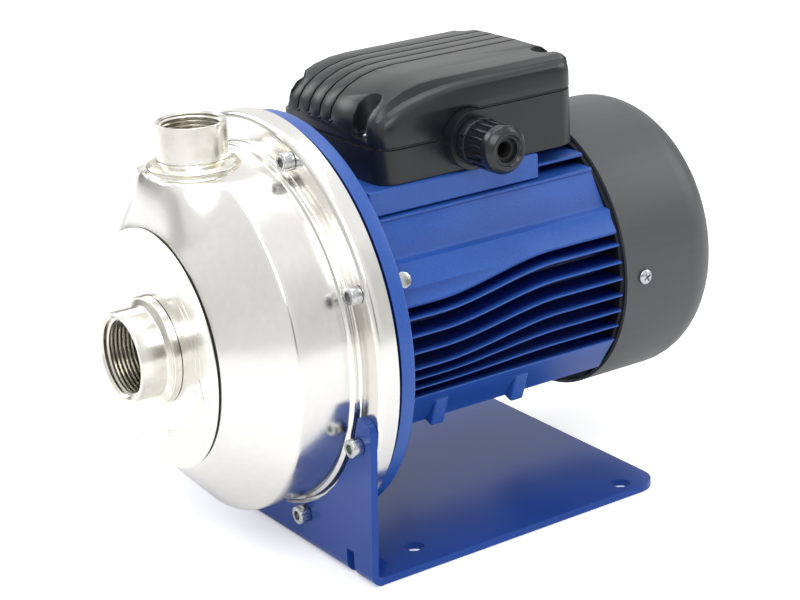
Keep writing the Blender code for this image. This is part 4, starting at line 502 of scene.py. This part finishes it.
# Discharge socket: bar-turned, with a Rp 1 thread, a thin wall and a flared foot that is
# welded to the seat on the bowl. It stands upright over the middle of the bowl.
SOCKET_TOP = 116.8
SOCKET_RADIUS = 18.5
SOCKET_BORE = 16.6
SOCKET_CHAMFER = 1.0
SOCKET_TAIL = SEAT_HEIGHT - 3.0
FOOT_RADIUS = 25.0

socket = turned("discharge_socket", rounded([
    (SOCKET_TAIL, SOCKET_BORE, 0), (SOCKET_TOP - SOCKET_CHAMFER, SOCKET_BORE, 0),
    (SOCKET_TOP, SOCKET_BORE + SOCKET_CHAMFER, 0), (SOCKET_TOP, SOCKET_RADIUS, 0.4),
    (96.8, SOCKET_RADIUS, 1.6), (95.8, FOOT_RADIUS - 2.4, 1.0), (94.4, FOOT_RADIUS - 0.4, 0.8),
    (93.3, FOOT_RADIUS, 0.5), (92.7, FOOT_RADIUS - 1.2, 0.3), (SEAT_HEIGHT, FOOT_RADIUS + 0.4, 0),
    (SOCKET_TAIL, FOOT_RADIUS - 1.0, 0), (SOCKET_TAIL, SOCKET_BORE, 0)]),
    144, (0.0, 0.0, 1.0), (PORT_STATION, 0.0, 0.0))
coil = thread("discharge_thread", SEAT_HEIGHT + 5.0, SOCKET_BORE, (0.0, 0.0, 1.0), (PORT_STATION, 0.0, 0.0))
dress(join([socket, coil]), "pump_body", ["discharge_port"], turned_steel, 28.0)


# Fill and drain plugs: bar-turned stainless plugs with a hexagon and a washer face, screwed
# through the bowl on a black seal. Both sit on the far side.
PLUG_STATION = -22.0
PLUG_ANGLES = (("fill_plug", 45.0), ("drain_plug", 150.0))
PLUG_SEAT = 95.4
PLUG_SEAL = 0.8
PLUG_DEPTH = 5.0
PLUG_HEAD = 6.0
PLUG_WASHER = (9.0, 2.0)
PLUG_FLATS = 13.0
PLUG_THREAD = 6.6

for name, degrees in PLUG_ANGLES:
    seat = PLUG_SEAT + PLUG_SEAL
    face = seat + PLUG_WASHER[1]
    bpy.ops.object.select_all(action="DESELECT")
    bpy.ops.mesh.primitive_cylinder_add(vertices=6, radius=PLUG_FLATS / math.sqrt(3), depth=PLUG_HEAD,
                                        location=(0.0, 0.0, face + PLUG_HEAD / 2))
    hexagon = bpy.context.object
    bpy.ops.object.transform_apply(location=True)
    modify(hexagon, "BEVEL", width=0.5, segments=3, angle_limit=math.radians(30))
    plug = turned(name + "_turned", rounded([
        (seat - PLUG_DEPTH, 0.0, 0), (seat - PLUG_DEPTH, PLUG_THREAD, 0), (seat, PLUG_THREAD, 0),
        (seat, PLUG_WASHER[0], 0.3), (face, PLUG_WASHER[0], 0.6), (face, 0.0, 0)], 3), 48, (0.0, 0.0, 1.0))
    settle(join([plug, hexagon]), (PLUG_STATION, 0.0, 0.0), (-math.radians(degrees), 0.0, 0.0))
    dress(plug, "pump_body", [name], turned_steel)


# Casing screws: eight zinc-plated M6 socket screws round the flange. The upper four clamp the
# steel itself and the lower four also hold the bracket's upright plate.
SCREW_HEAD = (4.9, 6.0)
SCREW_SOCKET = (2.9, 3.2)
SCREW_SHANK = 3.0

# Zinc plate over steel: a bright blue-grey white, finely dull.
zinc = clouded("zinc_plate", 0.9, 5.0, ("#D3D5D6", "#B4B6B8"), (0.18, 0.34), (0.2, 0.1 * MM), Metallic=1.0)


def in_drawing(point):
    """A place in the scene as millimetres from the bead."""
    return Vector(((point.x - BEAD) / MM, point.y / MM, (point.z - SHAFT) / MM))


def cut(piece, tool):
    """Take a tool's shape out of a piece, and throw the tool away."""
    bpy.ops.object.select_all(action="DESELECT")
    modify(piece, "BOOLEAN", operation="DIFFERENCE", object=tool, solver="EXACT")
    bpy.data.objects.remove(tool)


for index in range(8):
    name = f"casing_screw_{index + 1}"
    low, high = (in_drawing(corner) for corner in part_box(name))
    under = low.x + SCREW_HEAD[1]
    screw = turned(f"socket_screw_{index + 1}", rounded([
        (low.x, 0.0, 0), (low.x, SCREW_HEAD[0], 0.6), (under, SCREW_HEAD[0], 0.2), (under, SCREW_SHANK, 0),
        (high.x, SCREW_SHANK, 0.5), (high.x, 0.0, 0)], 3), 36)
    bpy.ops.object.select_all(action="DESELECT")
    bpy.ops.mesh.primitive_cylinder_add(vertices=6, radius=SCREW_SOCKET[0], depth=2 * SCREW_SOCKET[1],
                                        location=(low.x, 0.0, 0.0), rotation=(0.0, math.pi / 2, 0.0))
    cut(screw, bpy.context.object)
    settle(screw, (0.0, (low.y + high.y) / 2, (low.z + high.z) / 2))
    dress(screw, "pump_body", [name], zinc)


# Motor adapter: a cast disc behind the casing flange. Its turned edge is painted blue over a
# blasted casting, so it feels like fine sandpaper.
ADAPTER_PROFILE = (
    (11.6, 22.0, 0), (11.6, 86.0, 0), (6.6, 92.0, 0), (6.6, 103.0, 0), (9.0, 109.5, 1.5), (15.2, 109.5, 0),
    (15.2, 108.0, 0), (17.3, 108.0, 0), (17.3, 110.2, 0.4), (26.0, 110.2, 1.6), (26.0, 59.7, 0),
    (30.0, 59.7, 0), (30.0, 53.0, 0), (20.0, 51.0, 0), (20.0, 28.3, 0), (38.0, 26.3, 0), (38.0, 20.3, 0),
    (14.0, 20.3, 0), (11.6, 22.0, 0))
# Painted shade: ahead of this station the adapter's edge is painted dark navy for the shadow behind the casing
# rim.
SHADE_FRONT = 17.35
# Painted shade ranges: the distance from the shaft where the shade starts, where it is full, and the height that
# bounds it.
FIN_GAPS = (79.7, 76.0, 26.2)
CREST_GAPS = (77.0, 71.0, 41.0)

# Blue machine enamel on cast metal: satin, with the grain of the blasted casting under it and
# paler where the coat is thin on the grains. Painted shade: the gaps between the fins and between the
# crest ribs, and the adapter's edge behind the casing rim, are painted dark navy for the shade there.
blue, tree, shader, place = new_material("blue_enamel_on_casting")
split, reach = from_shaft(tree, place)
grain = add(tree, "ShaderNodeTexNoise", {"Vector": place, "Scale": 1.3, "Detail": 6.0, "Roughness": 0.65})
blotch = add(tree, "ShaderNodeTexNoise", {"Vector": place, "Scale": 0.06, "Detail": 3.0})
mixed = add(tree, "ShaderNodeMath", {0: blotch.outputs["Fac"], 1: 0.25, 2: grain.outputs["Fac"]},
            operation="MULTIPLY_ADD")
coat = add(tree, "ShaderNodeMapRange", {"Value": mixed.outputs[0], "From Min": 0.4, "From Max": 0.85})
# Painted shade: darker deeper in the fin gaps and between the crest ribs, and on the adapter's front edge.
gaps = []
for (lit_reach, shaded_reach, height), side in ((FIN_GAPS, "LESS_THAN"), (CREST_GAPS, "GREATER_THAN")):
    depth = add(tree, "ShaderNodeMapRange", {"Value": reach, "From Min": lit_reach, "From Max": shaded_reach})
    zone = add(tree, "ShaderNodeMath", {0: split["Z"], 1: height}, operation=side)
    gap = add(tree, "ShaderNodeMath", {0: depth.outputs[0], 1: zone.outputs[0]}, operation="MULTIPLY")
    gaps.append(gap.outputs[0])
gap_shade = add(tree, "ShaderNodeMath", {0: gaps[0], 1: gaps[1]}, operation="MAXIMUM")
front = add(tree, "ShaderNodeMath", {0: split["X"], 1: SHADE_FRONT}, operation="LESS_THAN")
painted_shade = add(tree, "ShaderNodeMath", {0: gap_shade.outputs[0], 1: front.outputs[0]}, operation="MAXIMUM")
enamel = paint(tree, shader, coat.outputs[0], "#1E4A9E", "#3060B4")
# Lay the painted shade, dark navy, over the enamel.
paint(tree, shader, painted_shade.outputs[0], enamel, "#0A1C66")
roughen(tree, shader, grain.outputs["Fac"], 0.28, 0.42, 0.4, 0.25 * MM)
dress(turned("adapter_disc", rounded(ADAPTER_PROFILE), 192), "pump_body", ["motor_adapter"], blue)


# Motor frame: a die-cast aluminium barrel with a platform for the terminal box, short ribs on
# its crest, a broad pad, seven thin fins that rise in an S towards the fan, and a smooth skirt
# with two foot bosses on each side.
FRAME_FRONT = 26.3
FRAME_BACK = 184.0
FRAME_RADIUS = 80.0
FRAME_BARREL = 64.0
FRAME_BORE = 60.0
PLATFORM_TOP = 74.5
PLATFORM = ((40.0, -53.0, 60.6), (149.0, 53.0, PLATFORM_TOP))
CREST_RIBS = (72.0, 65.3, 58.6)
PAD_TOP = 39.6
PAD_EDGE = 28.1
FIN_TOP = 20.6
FIN_PITCH = 9.4
FIN_COUNT = 7
SKIRT_LOW = -56.0
KEEL_LOW = -64.5
WAVE = (62.0, 142.0)
WAVE_STATIONS = (55.0, *(60.0 + 2.5 * step for step in range(35)), 165.0)
BOSS_STATIONS = (70.5, 123.5)
BOSS = ((-4.5, -5.0, -2.0), (4.5, 5.0, 17.0))
BOSS_LEAN = 20.0


def reach_at(height, radius):
    """Half width of a round envelope at a height."""
    return math.sqrt(max(radius * radius - height * height, 0.0))


def dip(station, height):
    """How far the fins sink at a station on their way to the adapter."""
    share = min(max((WAVE[1] - station) / (WAVE[1] - WAVE[0]), 0.0), 1.0)
    fade = min(max((height + 36.0) / 28.0, 0.0), 1.0)
    return FIN_PITCH * share * share * (3 - 2 * share) * fade


half = [(0.0, PLATFORM_TOP - 1.5)]
for height in CREST_RIBS:
    root = 26.0 + (CREST_RIBS[0] - height) * 0.5
    tip = reach_at(height, FRAME_RADIUS)
    half += [(root, height + 1.3), (tip - 0.8, height + 1.15), (tip, height + 0.6), (tip, height - 0.6),
             (tip - 0.8, height - 1.15), (root, height - 1.3)]
half[1] = (half[2][0] - 1.0, PLATFORM_TOP - 1.5)
half.pop()
middle = (PAD_TOP + PAD_EDGE) / 2 + 2.0
half += [(64.5, PAD_TOP), (reach_at(PAD_TOP, FRAME_RADIUS - 2.0), PAD_TOP),
         (reach_at(middle + 3.0, FRAME_RADIUS - 0.6), middle + 3.0),
         (reach_at(middle - 1.5, FRAME_RADIUS - 1.6), middle - 1.5),
         (reach_at(PAD_EDGE, FRAME_RADIUS), PAD_EDGE),
         (reach_at(PAD_EDGE - 1.6, FRAME_RADIUS - 1.2), PAD_EDGE - 1.6),
         (reach_at(PAD_EDGE - 2.0, FRAME_BARREL), PAD_EDGE - 2.0)]
for index in range(FIN_COUNT):
    height = FIN_TOP - FIN_PITCH * index
    tip = reach_at(height, FRAME_RADIUS)
    half += [(reach_at(height + 1.1, FRAME_BARREL), height + 1.1), (tip - 0.8, height + 0.75),
             (tip, height + 0.35), (tip, height - 0.35), (tip - 0.8, height - 0.75),
             (reach_at(height - 1.1, FRAME_BARREL), height - 1.1)]
half.pop()
skirt = reach_at(SKIRT_LOW, FRAME_RADIUS)
half += [(skirt, SKIRT_LOW), (skirt - 6.0, SKIRT_LOW - 3.0), (0.0, KEEL_LOW)]
outline = half + [(-side, height) for side, height in half[1:-1][::-1]]
barrel = draw("finned_frame", [(FRAME_FRONT, side, height) for side, height in [*outline, outline[0]]])
bpy.ops.mesh.select_all(action="SELECT")
bpy.ops.mesh.remove_doubles(threshold=0.002)
bpy.ops.mesh.edge_face_add()
stations = [FRAME_FRONT, *WAVE_STATIONS, FRAME_BACK]
for here, there in zip(stations, stations[1:]):
    bpy.ops.mesh.extrude_region_move(TRANSFORM_OT_translate={"value": (there - here, 0.0, 0.0)})
bpy.ops.object.mode_set(mode="OBJECT")
for vertex in barrel.data.vertices:
    x, y, z = vertex.co
    if abs(y) > 40.0 and z < PAD_TOP - 4.0:
        sunk = z - dip(x, z)
        vertex.co.z = sunk
        vertex.co.y = math.copysign(reach_at(sunk, math.hypot(y, z)), y)
bpy.ops.object.select_all(action="DESELECT")
bpy.ops.mesh.primitive_cylinder_add(
    vertices=96, radius=FRAME_BORE, depth=FRAME_BACK - FRAME_FRONT + 10.0,
    location=((FRAME_BACK + FRAME_FRONT) / 2, 0.0, 0.0), rotation=(0.0, math.pi / 2, 0.0))
cut(barrel, bpy.context.object)


def slab(name, low, high, width, segments=3):
    """A box between two corners with rounded edges."""
    bpy.ops.object.select_all(action="DESELECT")
    low, high = Vector(low), Vector(high)
    bpy.ops.mesh.primitive_cube_add(size=1.0, location=(low + high) / 2, scale=high - low)
    piece = bpy.context.object
    piece.name = name
    bpy.ops.object.transform_apply(location=True, scale=True)
    modify(piece, "BEVEL", width=width, segments=segments, angle_limit=math.radians(30))
    return piece


parts = [barrel, slab("platform", *PLATFORM, 1.2)]
for station in BOSS_STATIONS:
    for side in (-1.0, 1.0):
        boss = slab("boss", *BOSS, 1.8)
        if side < 0.0:
            settle(boss, turn=(0.0, 0.0, math.pi))
        settle(boss, (station, side * skirt, SKIRT_LOW), (-side * math.radians(BOSS_LEAN), 0.0, 0.0))
        parts.append(boss)
dress(join(parts), "pump_body", ["motor_frame"], blue, 38.0, True)


# Bracket: one blue powder-coated steel sheet, 4 mm thick, bent up at the front behind the lower
# flange screws and stiffened by two pressed gussets.
def soften(name, new_name, width, segments=2, angle=30.0, tools=()):
    """A merged copy of a CAD solid, cut by the tools, with its edges rounded."""
    bpy.ops.object.select_all(action="DESELECT")
    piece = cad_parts[name].copy()
    piece.data = piece.data.copy()
    piece.name = new_name
    bpy.context.scene.collection.objects.link(piece)
    settle(piece, (-BEAD / MM, 0.0, -SHAFT / MM), size=1 / MM)
    bpy.ops.object.mode_set(mode="EDIT")
    bpy.ops.mesh.select_all(action="SELECT")
    bpy.ops.mesh.remove_doubles(threshold=0.002)
    bpy.ops.mesh.dissolve_limited(angle_limit=math.radians(0.5))
    bpy.ops.object.mode_set(mode="OBJECT")
    for tool in tools:
        cut(piece, tool)
    modify(piece, "BEVEL", width=width, segments=segments, limit_method="ANGLE",
           angle_limit=math.radians(angle))
    return piece


# Polyester powder on sheet steel: smoother and deeper blue than the castings, with the low
# ripple of orange peel a few millimetres across.
powder, tree, shader, place = new_material("blue_powder_coat")
shader.inputs["Specular Tint"].default_value = colour("#A9BCF2")
peel = add(tree, "ShaderNodeTexNoise", {"Vector": place, "Scale": 0.3, "Detail": 1.0})
cloud = add(tree, "ShaderNodeTexNoise", {"Vector": place, "Scale": 0.03, "Detail": 2.0})
paint(tree, shader, cloud.outputs["Fac"], "#1C4190", "#22499C")
roughen(tree, shader, peel.outputs["Fac"], 0.2, 0.24, 0.04, 0.1 * MM)
sheet = soften("bracket", "bent_bracket", 0.45, 2, 40.0)
dress(sheet, "pump_body", ["bracket"], powder, 38.0, True)


# Earth screw: a round zinc screw in the side of the frame.
dress(soften("earth_screw", "earth_terminal", 0.3), "pump_body", ["earth_screw"], zinc, 38.0)


# Terminal box: a base and a cover moulded in black ABS, on a rubber gasket. Four cross-head
# screws in deep corner pockets hold the cover.
POCKET = (54.5, -30.6, 109.0)
POCKET_RADIUS = 6.8
POCKET_DEPTH = 24.0
POCKET_RUN = 14.0
GROOVE_SIDES = (29.4, 18.6, 7.8, -3.0)
GROOVE_END = (50.1, 101.4)
GROOVE_RADIUS = 1.1

# ABS with a fine spark-eroded grain: a soft satin grey sheen on near-black.
abs_plastic, tree, shader, place = new_material("moulded_black_abs")
grain = add(tree, "ShaderNodeTexNoise", {"Vector": place, "Scale": 2.2, "Detail": 4.0})
flow = add(tree, "ShaderNodeTexNoise", {"Vector": place, "Scale": 0.05, "Detail": 2.0})
paint(tree, shader, flow.outputs["Fac"], "#15181A", "#1E2224")
roughen(tree, shader, grain.outputs["Fac"], 0.27, 0.37, 0.1, 0.08 * MM)
base = soften("terminal_box_base", "box_base", 0.35, 3, 36.0)
dress(base, "pump_body", ["terminal_box_base"], abs_plastic, 38.0, True)

# The near front pocket runs out through the cover's sloping nose.
bpy.ops.object.select_all(action="DESELECT")
bpy.ops.mesh.primitive_cylinder_add(vertices=48, radius=POCKET_RADIUS, depth=POCKET_DEPTH, location=POCKET)
pocket = bpy.context.object
for vertex in pocket.data.vertices:
    if vertex.co.x < -0.1:
        vertex.co.x -= POCKET_RUN
bpy.ops.object.transform_apply(location=True)
cover = soften("terminal_box_cover", "box_cover", 0.3, tools=[pocket])
pips = []
for side in GROOVE_SIDES:
    bpy.ops.object.select_all(action="DESELECT")
    bpy.ops.mesh.primitive_uv_sphere_add(segments=20, ring_count=12, radius=GROOVE_RADIUS, scale=(0.8, 1.0, 0.8),
                                         location=(GROOVE_END[0], side, GROOVE_END[1]))
    bpy.ops.object.transform_apply(location=True, scale=True)
    pips.append(bpy.context.object)
dress(join([cover, *pips]), "pump_body", ["terminal_box_cover"], abs_plastic, 38.0)


# Cover screws: zinc-plated steel with a low round head and a cross slot. The near front one
# sits a little deeper in its pocket.
COVER_SCREW = (3.7, 1.8, 2.7)
POCKET_DROP = 2.0


def cross_screw(name, low, high, axis, head_radius, shank_radius, head):
    """A round-headed screw with a cross slot, along an axis from its tip to its top."""
    length = (high - low).length
    neck = length - head
    screw = turned(name, rounded([
        (0.0, 0.0, 0), (0.0, shank_radius, 0.3), (neck, shank_radius, 0), (neck, head_radius, 0.3),
        (length - head * 0.45, head_radius, 0.5), (length, head_radius * 0.62, 0.8), (length, 0.0, 0)], 3),
        32, (0.0, 0.0, 1.0))
    for turn in (0.0, math.pi / 2):
        bpy.ops.object.select_all(action="DESELECT")
        bpy.ops.mesh.primitive_cube_add(
            size=1.0, location=(0.0, 0.0, length), rotation=(0.0, 0.0, turn + 0.5),
            scale=(head_radius * 1.15, head_radius * 0.26, head * 1.8))
        cut(screw, bpy.context.object)
    settle(screw, low, Vector(axis).to_track_quat("Z", "Y").to_euler())
    return screw


for index in range(4):
    name = f"box_cover_screw_{index + 1}"
    low, high = (in_drawing(corner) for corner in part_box(name))
    middle = (low + high) / 2
    drop = POCKET_DROP if index == 0 else 0.0
    tip = Vector((middle.x, middle.y, low.z - drop))
    top = Vector((middle.x, middle.y, high.z - drop))
    screw = cross_screw(f"cover_screw_{index + 1}", tip, top, (0.0, 0.0, 1.0), *COVER_SCREW)
    dress(screw, "pump_body", [name], zinc)


# Cable gland: a moulded body, a ribbed dome nut and a rubber seal with an open hole, screwed
# into the near side of the terminal box.
GLAND = (104.0, 0.0, 91.7)
GLAND_AXIS = (0.0, -1.0, 0.0)
GLAND_BODY = (
    (48.0, 6.0, 0), (48.0, 8.0, 0), (59.2, 8.0, 0), (59.2, 12.4, 0.3), (64.9, 12.4, 0.6), (64.9, 8.0, 0),
    (78.0, 8.0, 0), (78.0, 6.0, 0), (48.0, 6.0, 0))
GLAND_FLAT = ((-3.6, -64.6, 11.0), (3.6, -59.4, 12.75))
GLAND_NUT = (
    (65.2, 8.4, 0), (65.2, 12.6, 0.6), (80.0, 12.6, 0), (80.6, 13.0, 0.4), (85.0, 13.0, 2.4), (88.2, 10.2, 0.9),
    (88.2, 8.6, 0.5), (86.6, 7.6, 0.4), (86.9, 6.6, 0.3), (86.0, 6.3, 0), (78.5, 6.3, 0), (78.5, 8.4, 0),
    (65.2, 8.4, 0))
GRIP_RIB = ((-0.7, -80.2, 12.2), (0.7, -66.0, 13.15))

# Glossy nylon: smooth and dark, with sharp highlights on every ridge.
nylon = clouded("glossy_black_nylon", 0.2, 3.0, ("#15171A", "#24272B"), (0.16, 0.28), (0.15, 0.3 * MM))


def ringed(piece, name, corners, width, count, lead=0.0):
    """Join a ring of like slabs round the gland's line to a piece."""
    slabs = []
    for turn in range(count):
        slabs.append(slab(name, *corners, width))
        settle(slabs[-1], GLAND, (0.0, math.tau * turn / count + lead, 0.0))
    return join([piece, *slabs])


body = turned("gland_fitting", rounded(GLAND_BODY, 4), 96, GLAND_AXIS, GLAND)
body = ringed(body, "spanner_flat", GLAND_FLAT, 0.4, 6, 0.2)
dress(body, "pump_body", ["gland_body"], nylon)
cap = turned("gland_cap", rounded(GLAND_NUT, 5), 96, GLAND_AXIS, GLAND)
dress(ringed(cap, "grip_rib", GRIP_RIB, 0.3, 18), "pump_body", ["gland_nut"], nylon)

# Moulded rubber: matt, almost black, with a dusty bloom.
rubber = clouded("moulded_rubber", 0.7, 4.0, ("#161616", "#262626"), (0.55, 0.75), (0.2, 0.2 * MM))
dress(soften("gland_seal", "gland_ring", 0.2), "pump_body", ["gland_seal"], rubber, 38.0)


# Fan cover: a cup moulded in grey polypropylene, pulled over the end shield and held by three
# screws. Its back is a grille of fine concentric slots.
CUP_FRONT = 187.0
CUP_BACK = 260.0
CUP_RADIUS = 80.2
CUP_SHOULDER = 26.0
CUP_WALL = 2.0
GRILLE_RADIUS = 54.0
GRILLE_PITCH = 5.6
GRILLE_RINGS = 9
GRILLE_SPOKES = 12
BAR_HALF = 0.9
BAR_FRONT = CUP_BACK - 1.9
BAR_BACK = CUP_BACK - 0.1
HUB_RADIUS = 9.0
SPOKE = ((CUP_BACK - 2.6, -1.1, 6.0), (CUP_BACK - 0.5, 1.1, 55.0))
CUP_SCREW = (4.2, 2.0, 2.2)
CUP_SCREW_LENGTH = 11.0
CUP_SCREW_TOP = 82.7
CUP_SCREW_ANGLES = (-90.0, 30.0, 150.0)

# Filled polypropylene: dull grey, with faint axial drag lines from its mould.
pp, tree, shader, place = new_material("moulded_grey_polypropylene")
split = add(tree, "ShaderNodeSeparateXYZ", {0: place}).outputs
turn_about = add(tree, "ShaderNodeMath", {0: split["Z"], 1: split["Y"]}, operation="ARCTAN2")
drag_place = add(tree, "ShaderNodeCombineXYZ", {
    "X": add(tree, "ShaderNodeMath", {0: turn_about.outputs[0], 1: 24.0}, operation="MULTIPLY").outputs[0],
    "Y": add(tree, "ShaderNodeMath", {0: split["X"], 1: 0.02}, operation="MULTIPLY").outputs[0]})
drag = add(tree, "ShaderNodeTexNoise", {"Vector": drag_place.outputs[0], "Scale": 1.0, "Detail": 3.0})
grain = add(tree, "ShaderNodeTexNoise", {"Vector": place, "Scale": 1.8, "Detail": 4.0})
mixed = add(tree, "ShaderNodeMath", {0: grain.outputs["Fac"], 1: 0.4, 2: drag.outputs["Fac"]},
            operation="MULTIPLY_ADD")
paint(tree, shader, drag.outputs["Fac"], "#46484A", "#505254")
roughen(tree, shader, grain.outputs["Fac"], 0.4, 0.5, 0.25, 0.2 * MM, mixed.outputs[0])

path = [
    (CUP_FRONT, CUP_RADIUS, 0), (CUP_BACK, CUP_RADIUS, CUP_SHOULDER), (CUP_BACK, GRILLE_RADIUS, 0),
    (CUP_BACK - CUP_WALL, GRILLE_RADIUS, 0),
    (CUP_BACK - CUP_WALL, CUP_RADIUS - CUP_WALL, CUP_SHOULDER - CUP_WALL),
    (CUP_FRONT, CUP_RADIUS - CUP_WALL, 0), (CUP_FRONT, CUP_RADIUS, 0)]
bars = [turned("fan_cup", rounded(path, 12), 144)]
for ring in range(GRILLE_RINGS):
    inner = GRILLE_RADIUS - GRILLE_PITCH * ring - BAR_HALF
    outer = GRILLE_RADIUS - GRILLE_PITCH * ring + BAR_HALF
    bars.append(turned(f"grille_ring_{ring}", rounded([
        (BAR_FRONT, inner, 0), (BAR_BACK, inner, 0.4), (BAR_BACK, outer, 0.4), (BAR_FRONT, outer, 0),
        (BAR_FRONT, inner, 0)], 3), 96))
bars.append(turned("grille_hub", rounded([
    (BAR_FRONT, 0.0, 0), (BAR_FRONT, HUB_RADIUS, 0), (BAR_BACK, HUB_RADIUS, 0.5), (BAR_BACK, 0.0, 0)], 3), 64))
for index in range(GRILLE_SPOKES):
    bars.append(slab(f"grille_spoke_{index}", *SPOKE, 0.4, 2))
    settle(bars[-1], turn=(math.tau * index / GRILLE_SPOKES, 0.0, 0.0))
dress(join(bars), "pump_body", ["fan_cover"], pp)

for index, degrees in enumerate(CUP_SCREW_ANGLES):
    name = f"fan_cover_screw_{index + 1}"
    angle = math.radians(degrees)
    outward = Vector((0.0, math.sin(angle), math.cos(angle)))
    low, high = (in_drawing(corner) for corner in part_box(name))
    top = Vector(((low.x + high.x) / 2, 0.0, 0.0)) + outward * CUP_SCREW_TOP
    screw = cross_screw(f"cup_screw_{index + 1}", top - outward * CUP_SCREW_LENGTH, top, outward, *CUP_SCREW)
    dress(screw, "pump_body", [name], zinc)


# Inside: what the closed pump hides keeps its own solids, in the finishes of the real pieces, but the end shield
# is painted near-black as painted shade.
# Steel shaft, races and rings: ground, then left with a thin film of oil.
ground = clouded("ground_bearing_steel", 1.6, 4.0, ("#C9CACA", "#A9AAAB"), (0.22, 0.38), (0.15, 0.05 * MM),
                 Metallic=1.0)

# Stacked laminations: 0.5 mm sheets, drawn 1 mm apart so that they show, blue-grey from steam.
laminated, tree, shader, place = new_material("stacked_laminations")
shader.inputs["Metallic"].default_value = 1.0
split = add(tree, "ShaderNodeSeparateXYZ", {0: place}).outputs
edge = add(tree, "ShaderNodeMath", {0: split["X"], 1: 0.5}, operation="PINGPONG")
edge = add(tree, "ShaderNodeMapRange", {"Value": edge.outputs[0], "From Max": 0.5}).outputs[0]
paint(tree, shader, edge, "#53565A", "#8B8E93")
roughen(tree, shader, edge, 0.4, 0.6, 0.4, 0.15 * MM)

# Enamelled copper: wires under a clear varnish, wound the long way round, drawn 1 mm apart.
copper, tree, shader, place = new_material("varnished_copper_winding")
shader.inputs["Metallic"].default_value = 1.0
shader.inputs["Coat Weight"].default_value = 0.6
shader.inputs["Coat Roughness"].default_value = 0.15
split, reach = from_shaft(tree, place)
wire = add(tree, "ShaderNodeMath", {0: reach, 1: split["X"]})
wire = add(tree, "ShaderNodeMath", {0: wire.outputs[0], 1: 0.5}, operation="PINGPONG")
wire = add(tree, "ShaderNodeMapRange", {"Value": wire.outputs[0], "From Max": 0.5}).outputs[0]
paint(tree, shader, wire, "#6E2F16", "#C4713F")
roughen(tree, shader, wire, 0.3, 0.42, 0.6, 0.3 * MM)

# Alumina ceramic and carbon: the seal's lapped faces, one white and one black, both very smooth.
ceramic = clouded("lapped_alumina", 3.0, 2.0, ("#EFEBDF", "#DDD8C9"), (0.15, 0.25), (0.05, 0.02 * MM))
carbon = clouded("lapped_carbon", 3.0, 3.0, ("#191A1B", "#2C2D2F"), (0.25, 0.4), (0.05, 0.02 * MM))

# Wear ring: moulded acetal, ivory and slightly waxy.
acetal = clouded("moulded_acetal", 0.4, 3.0, ("#E4DEC8", "#D2CAB0"), (0.35, 0.48), (0.1, 0.1 * MM),
                 Subsurface_Weight=0.15, Subsurface_Scale=0.002)

# Terminal board: brown pressed paper board with a cloudy resin surface.
board = clouded("brown_terminal_board", 0.5, 5.0, ("#4A2A18", "#6B4226"), (0.35, 0.5), (0.1, 0.1 * MM))

# Capacitor: a white polypropylene can, smooth with a light mould haze.
can = clouded("white_capacitor_can", 0.3, 3.0, ("#DAD9D4", "#C9C8C2"), (0.3, 0.42), (0.05, 0.1 * MM))

# End shield: the same enamel, painted near-black as painted shade for the shadow inside the fan cover, dull and
# uneven.
shadowed_enamel = clouded("enamel_painted_as_shade", 0.9, 5.0, ("#05070F", "#0E1428"), (0.5, 0.75), (0.4, 0.3 * MM))

FINISHES = (
    (stainless, ("seal_housing", "impeller", "seal_spring")),
    (turned_steel, ("impeller_nut",)),
    (ground, ("shaft", "wave_washer", "front_bearing_inner", "front_bearing_outer", "front_bearing_cage",
              "rear_bearing_inner", "rear_bearing_outer", "rear_bearing_cage")),
    (zinc, ("fan_clip",)),
    (shadowed_enamel, ("rear_end_shield",)),
    (rubber, ("slinger_ring", "casing_o_ring", "terminal_box_gasket")),
    (ceramic, ("seal_seat",)),
    (carbon, ("seal_head",)),
    (acetal, ("wear_ring",)),
    (laminated, ("stator_core", "rotor_core")),
    (copper, ("winding_front", "winding_rear")),
    (pp, ("cooling_fan",)),
    (board, ("terminal_board",)),
    (can, ("capacitor",)))
for material, names in FINISHES:
    for name in names:
        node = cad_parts[name]
        node.data.materials.clear()
        node.data.materials.append(material)
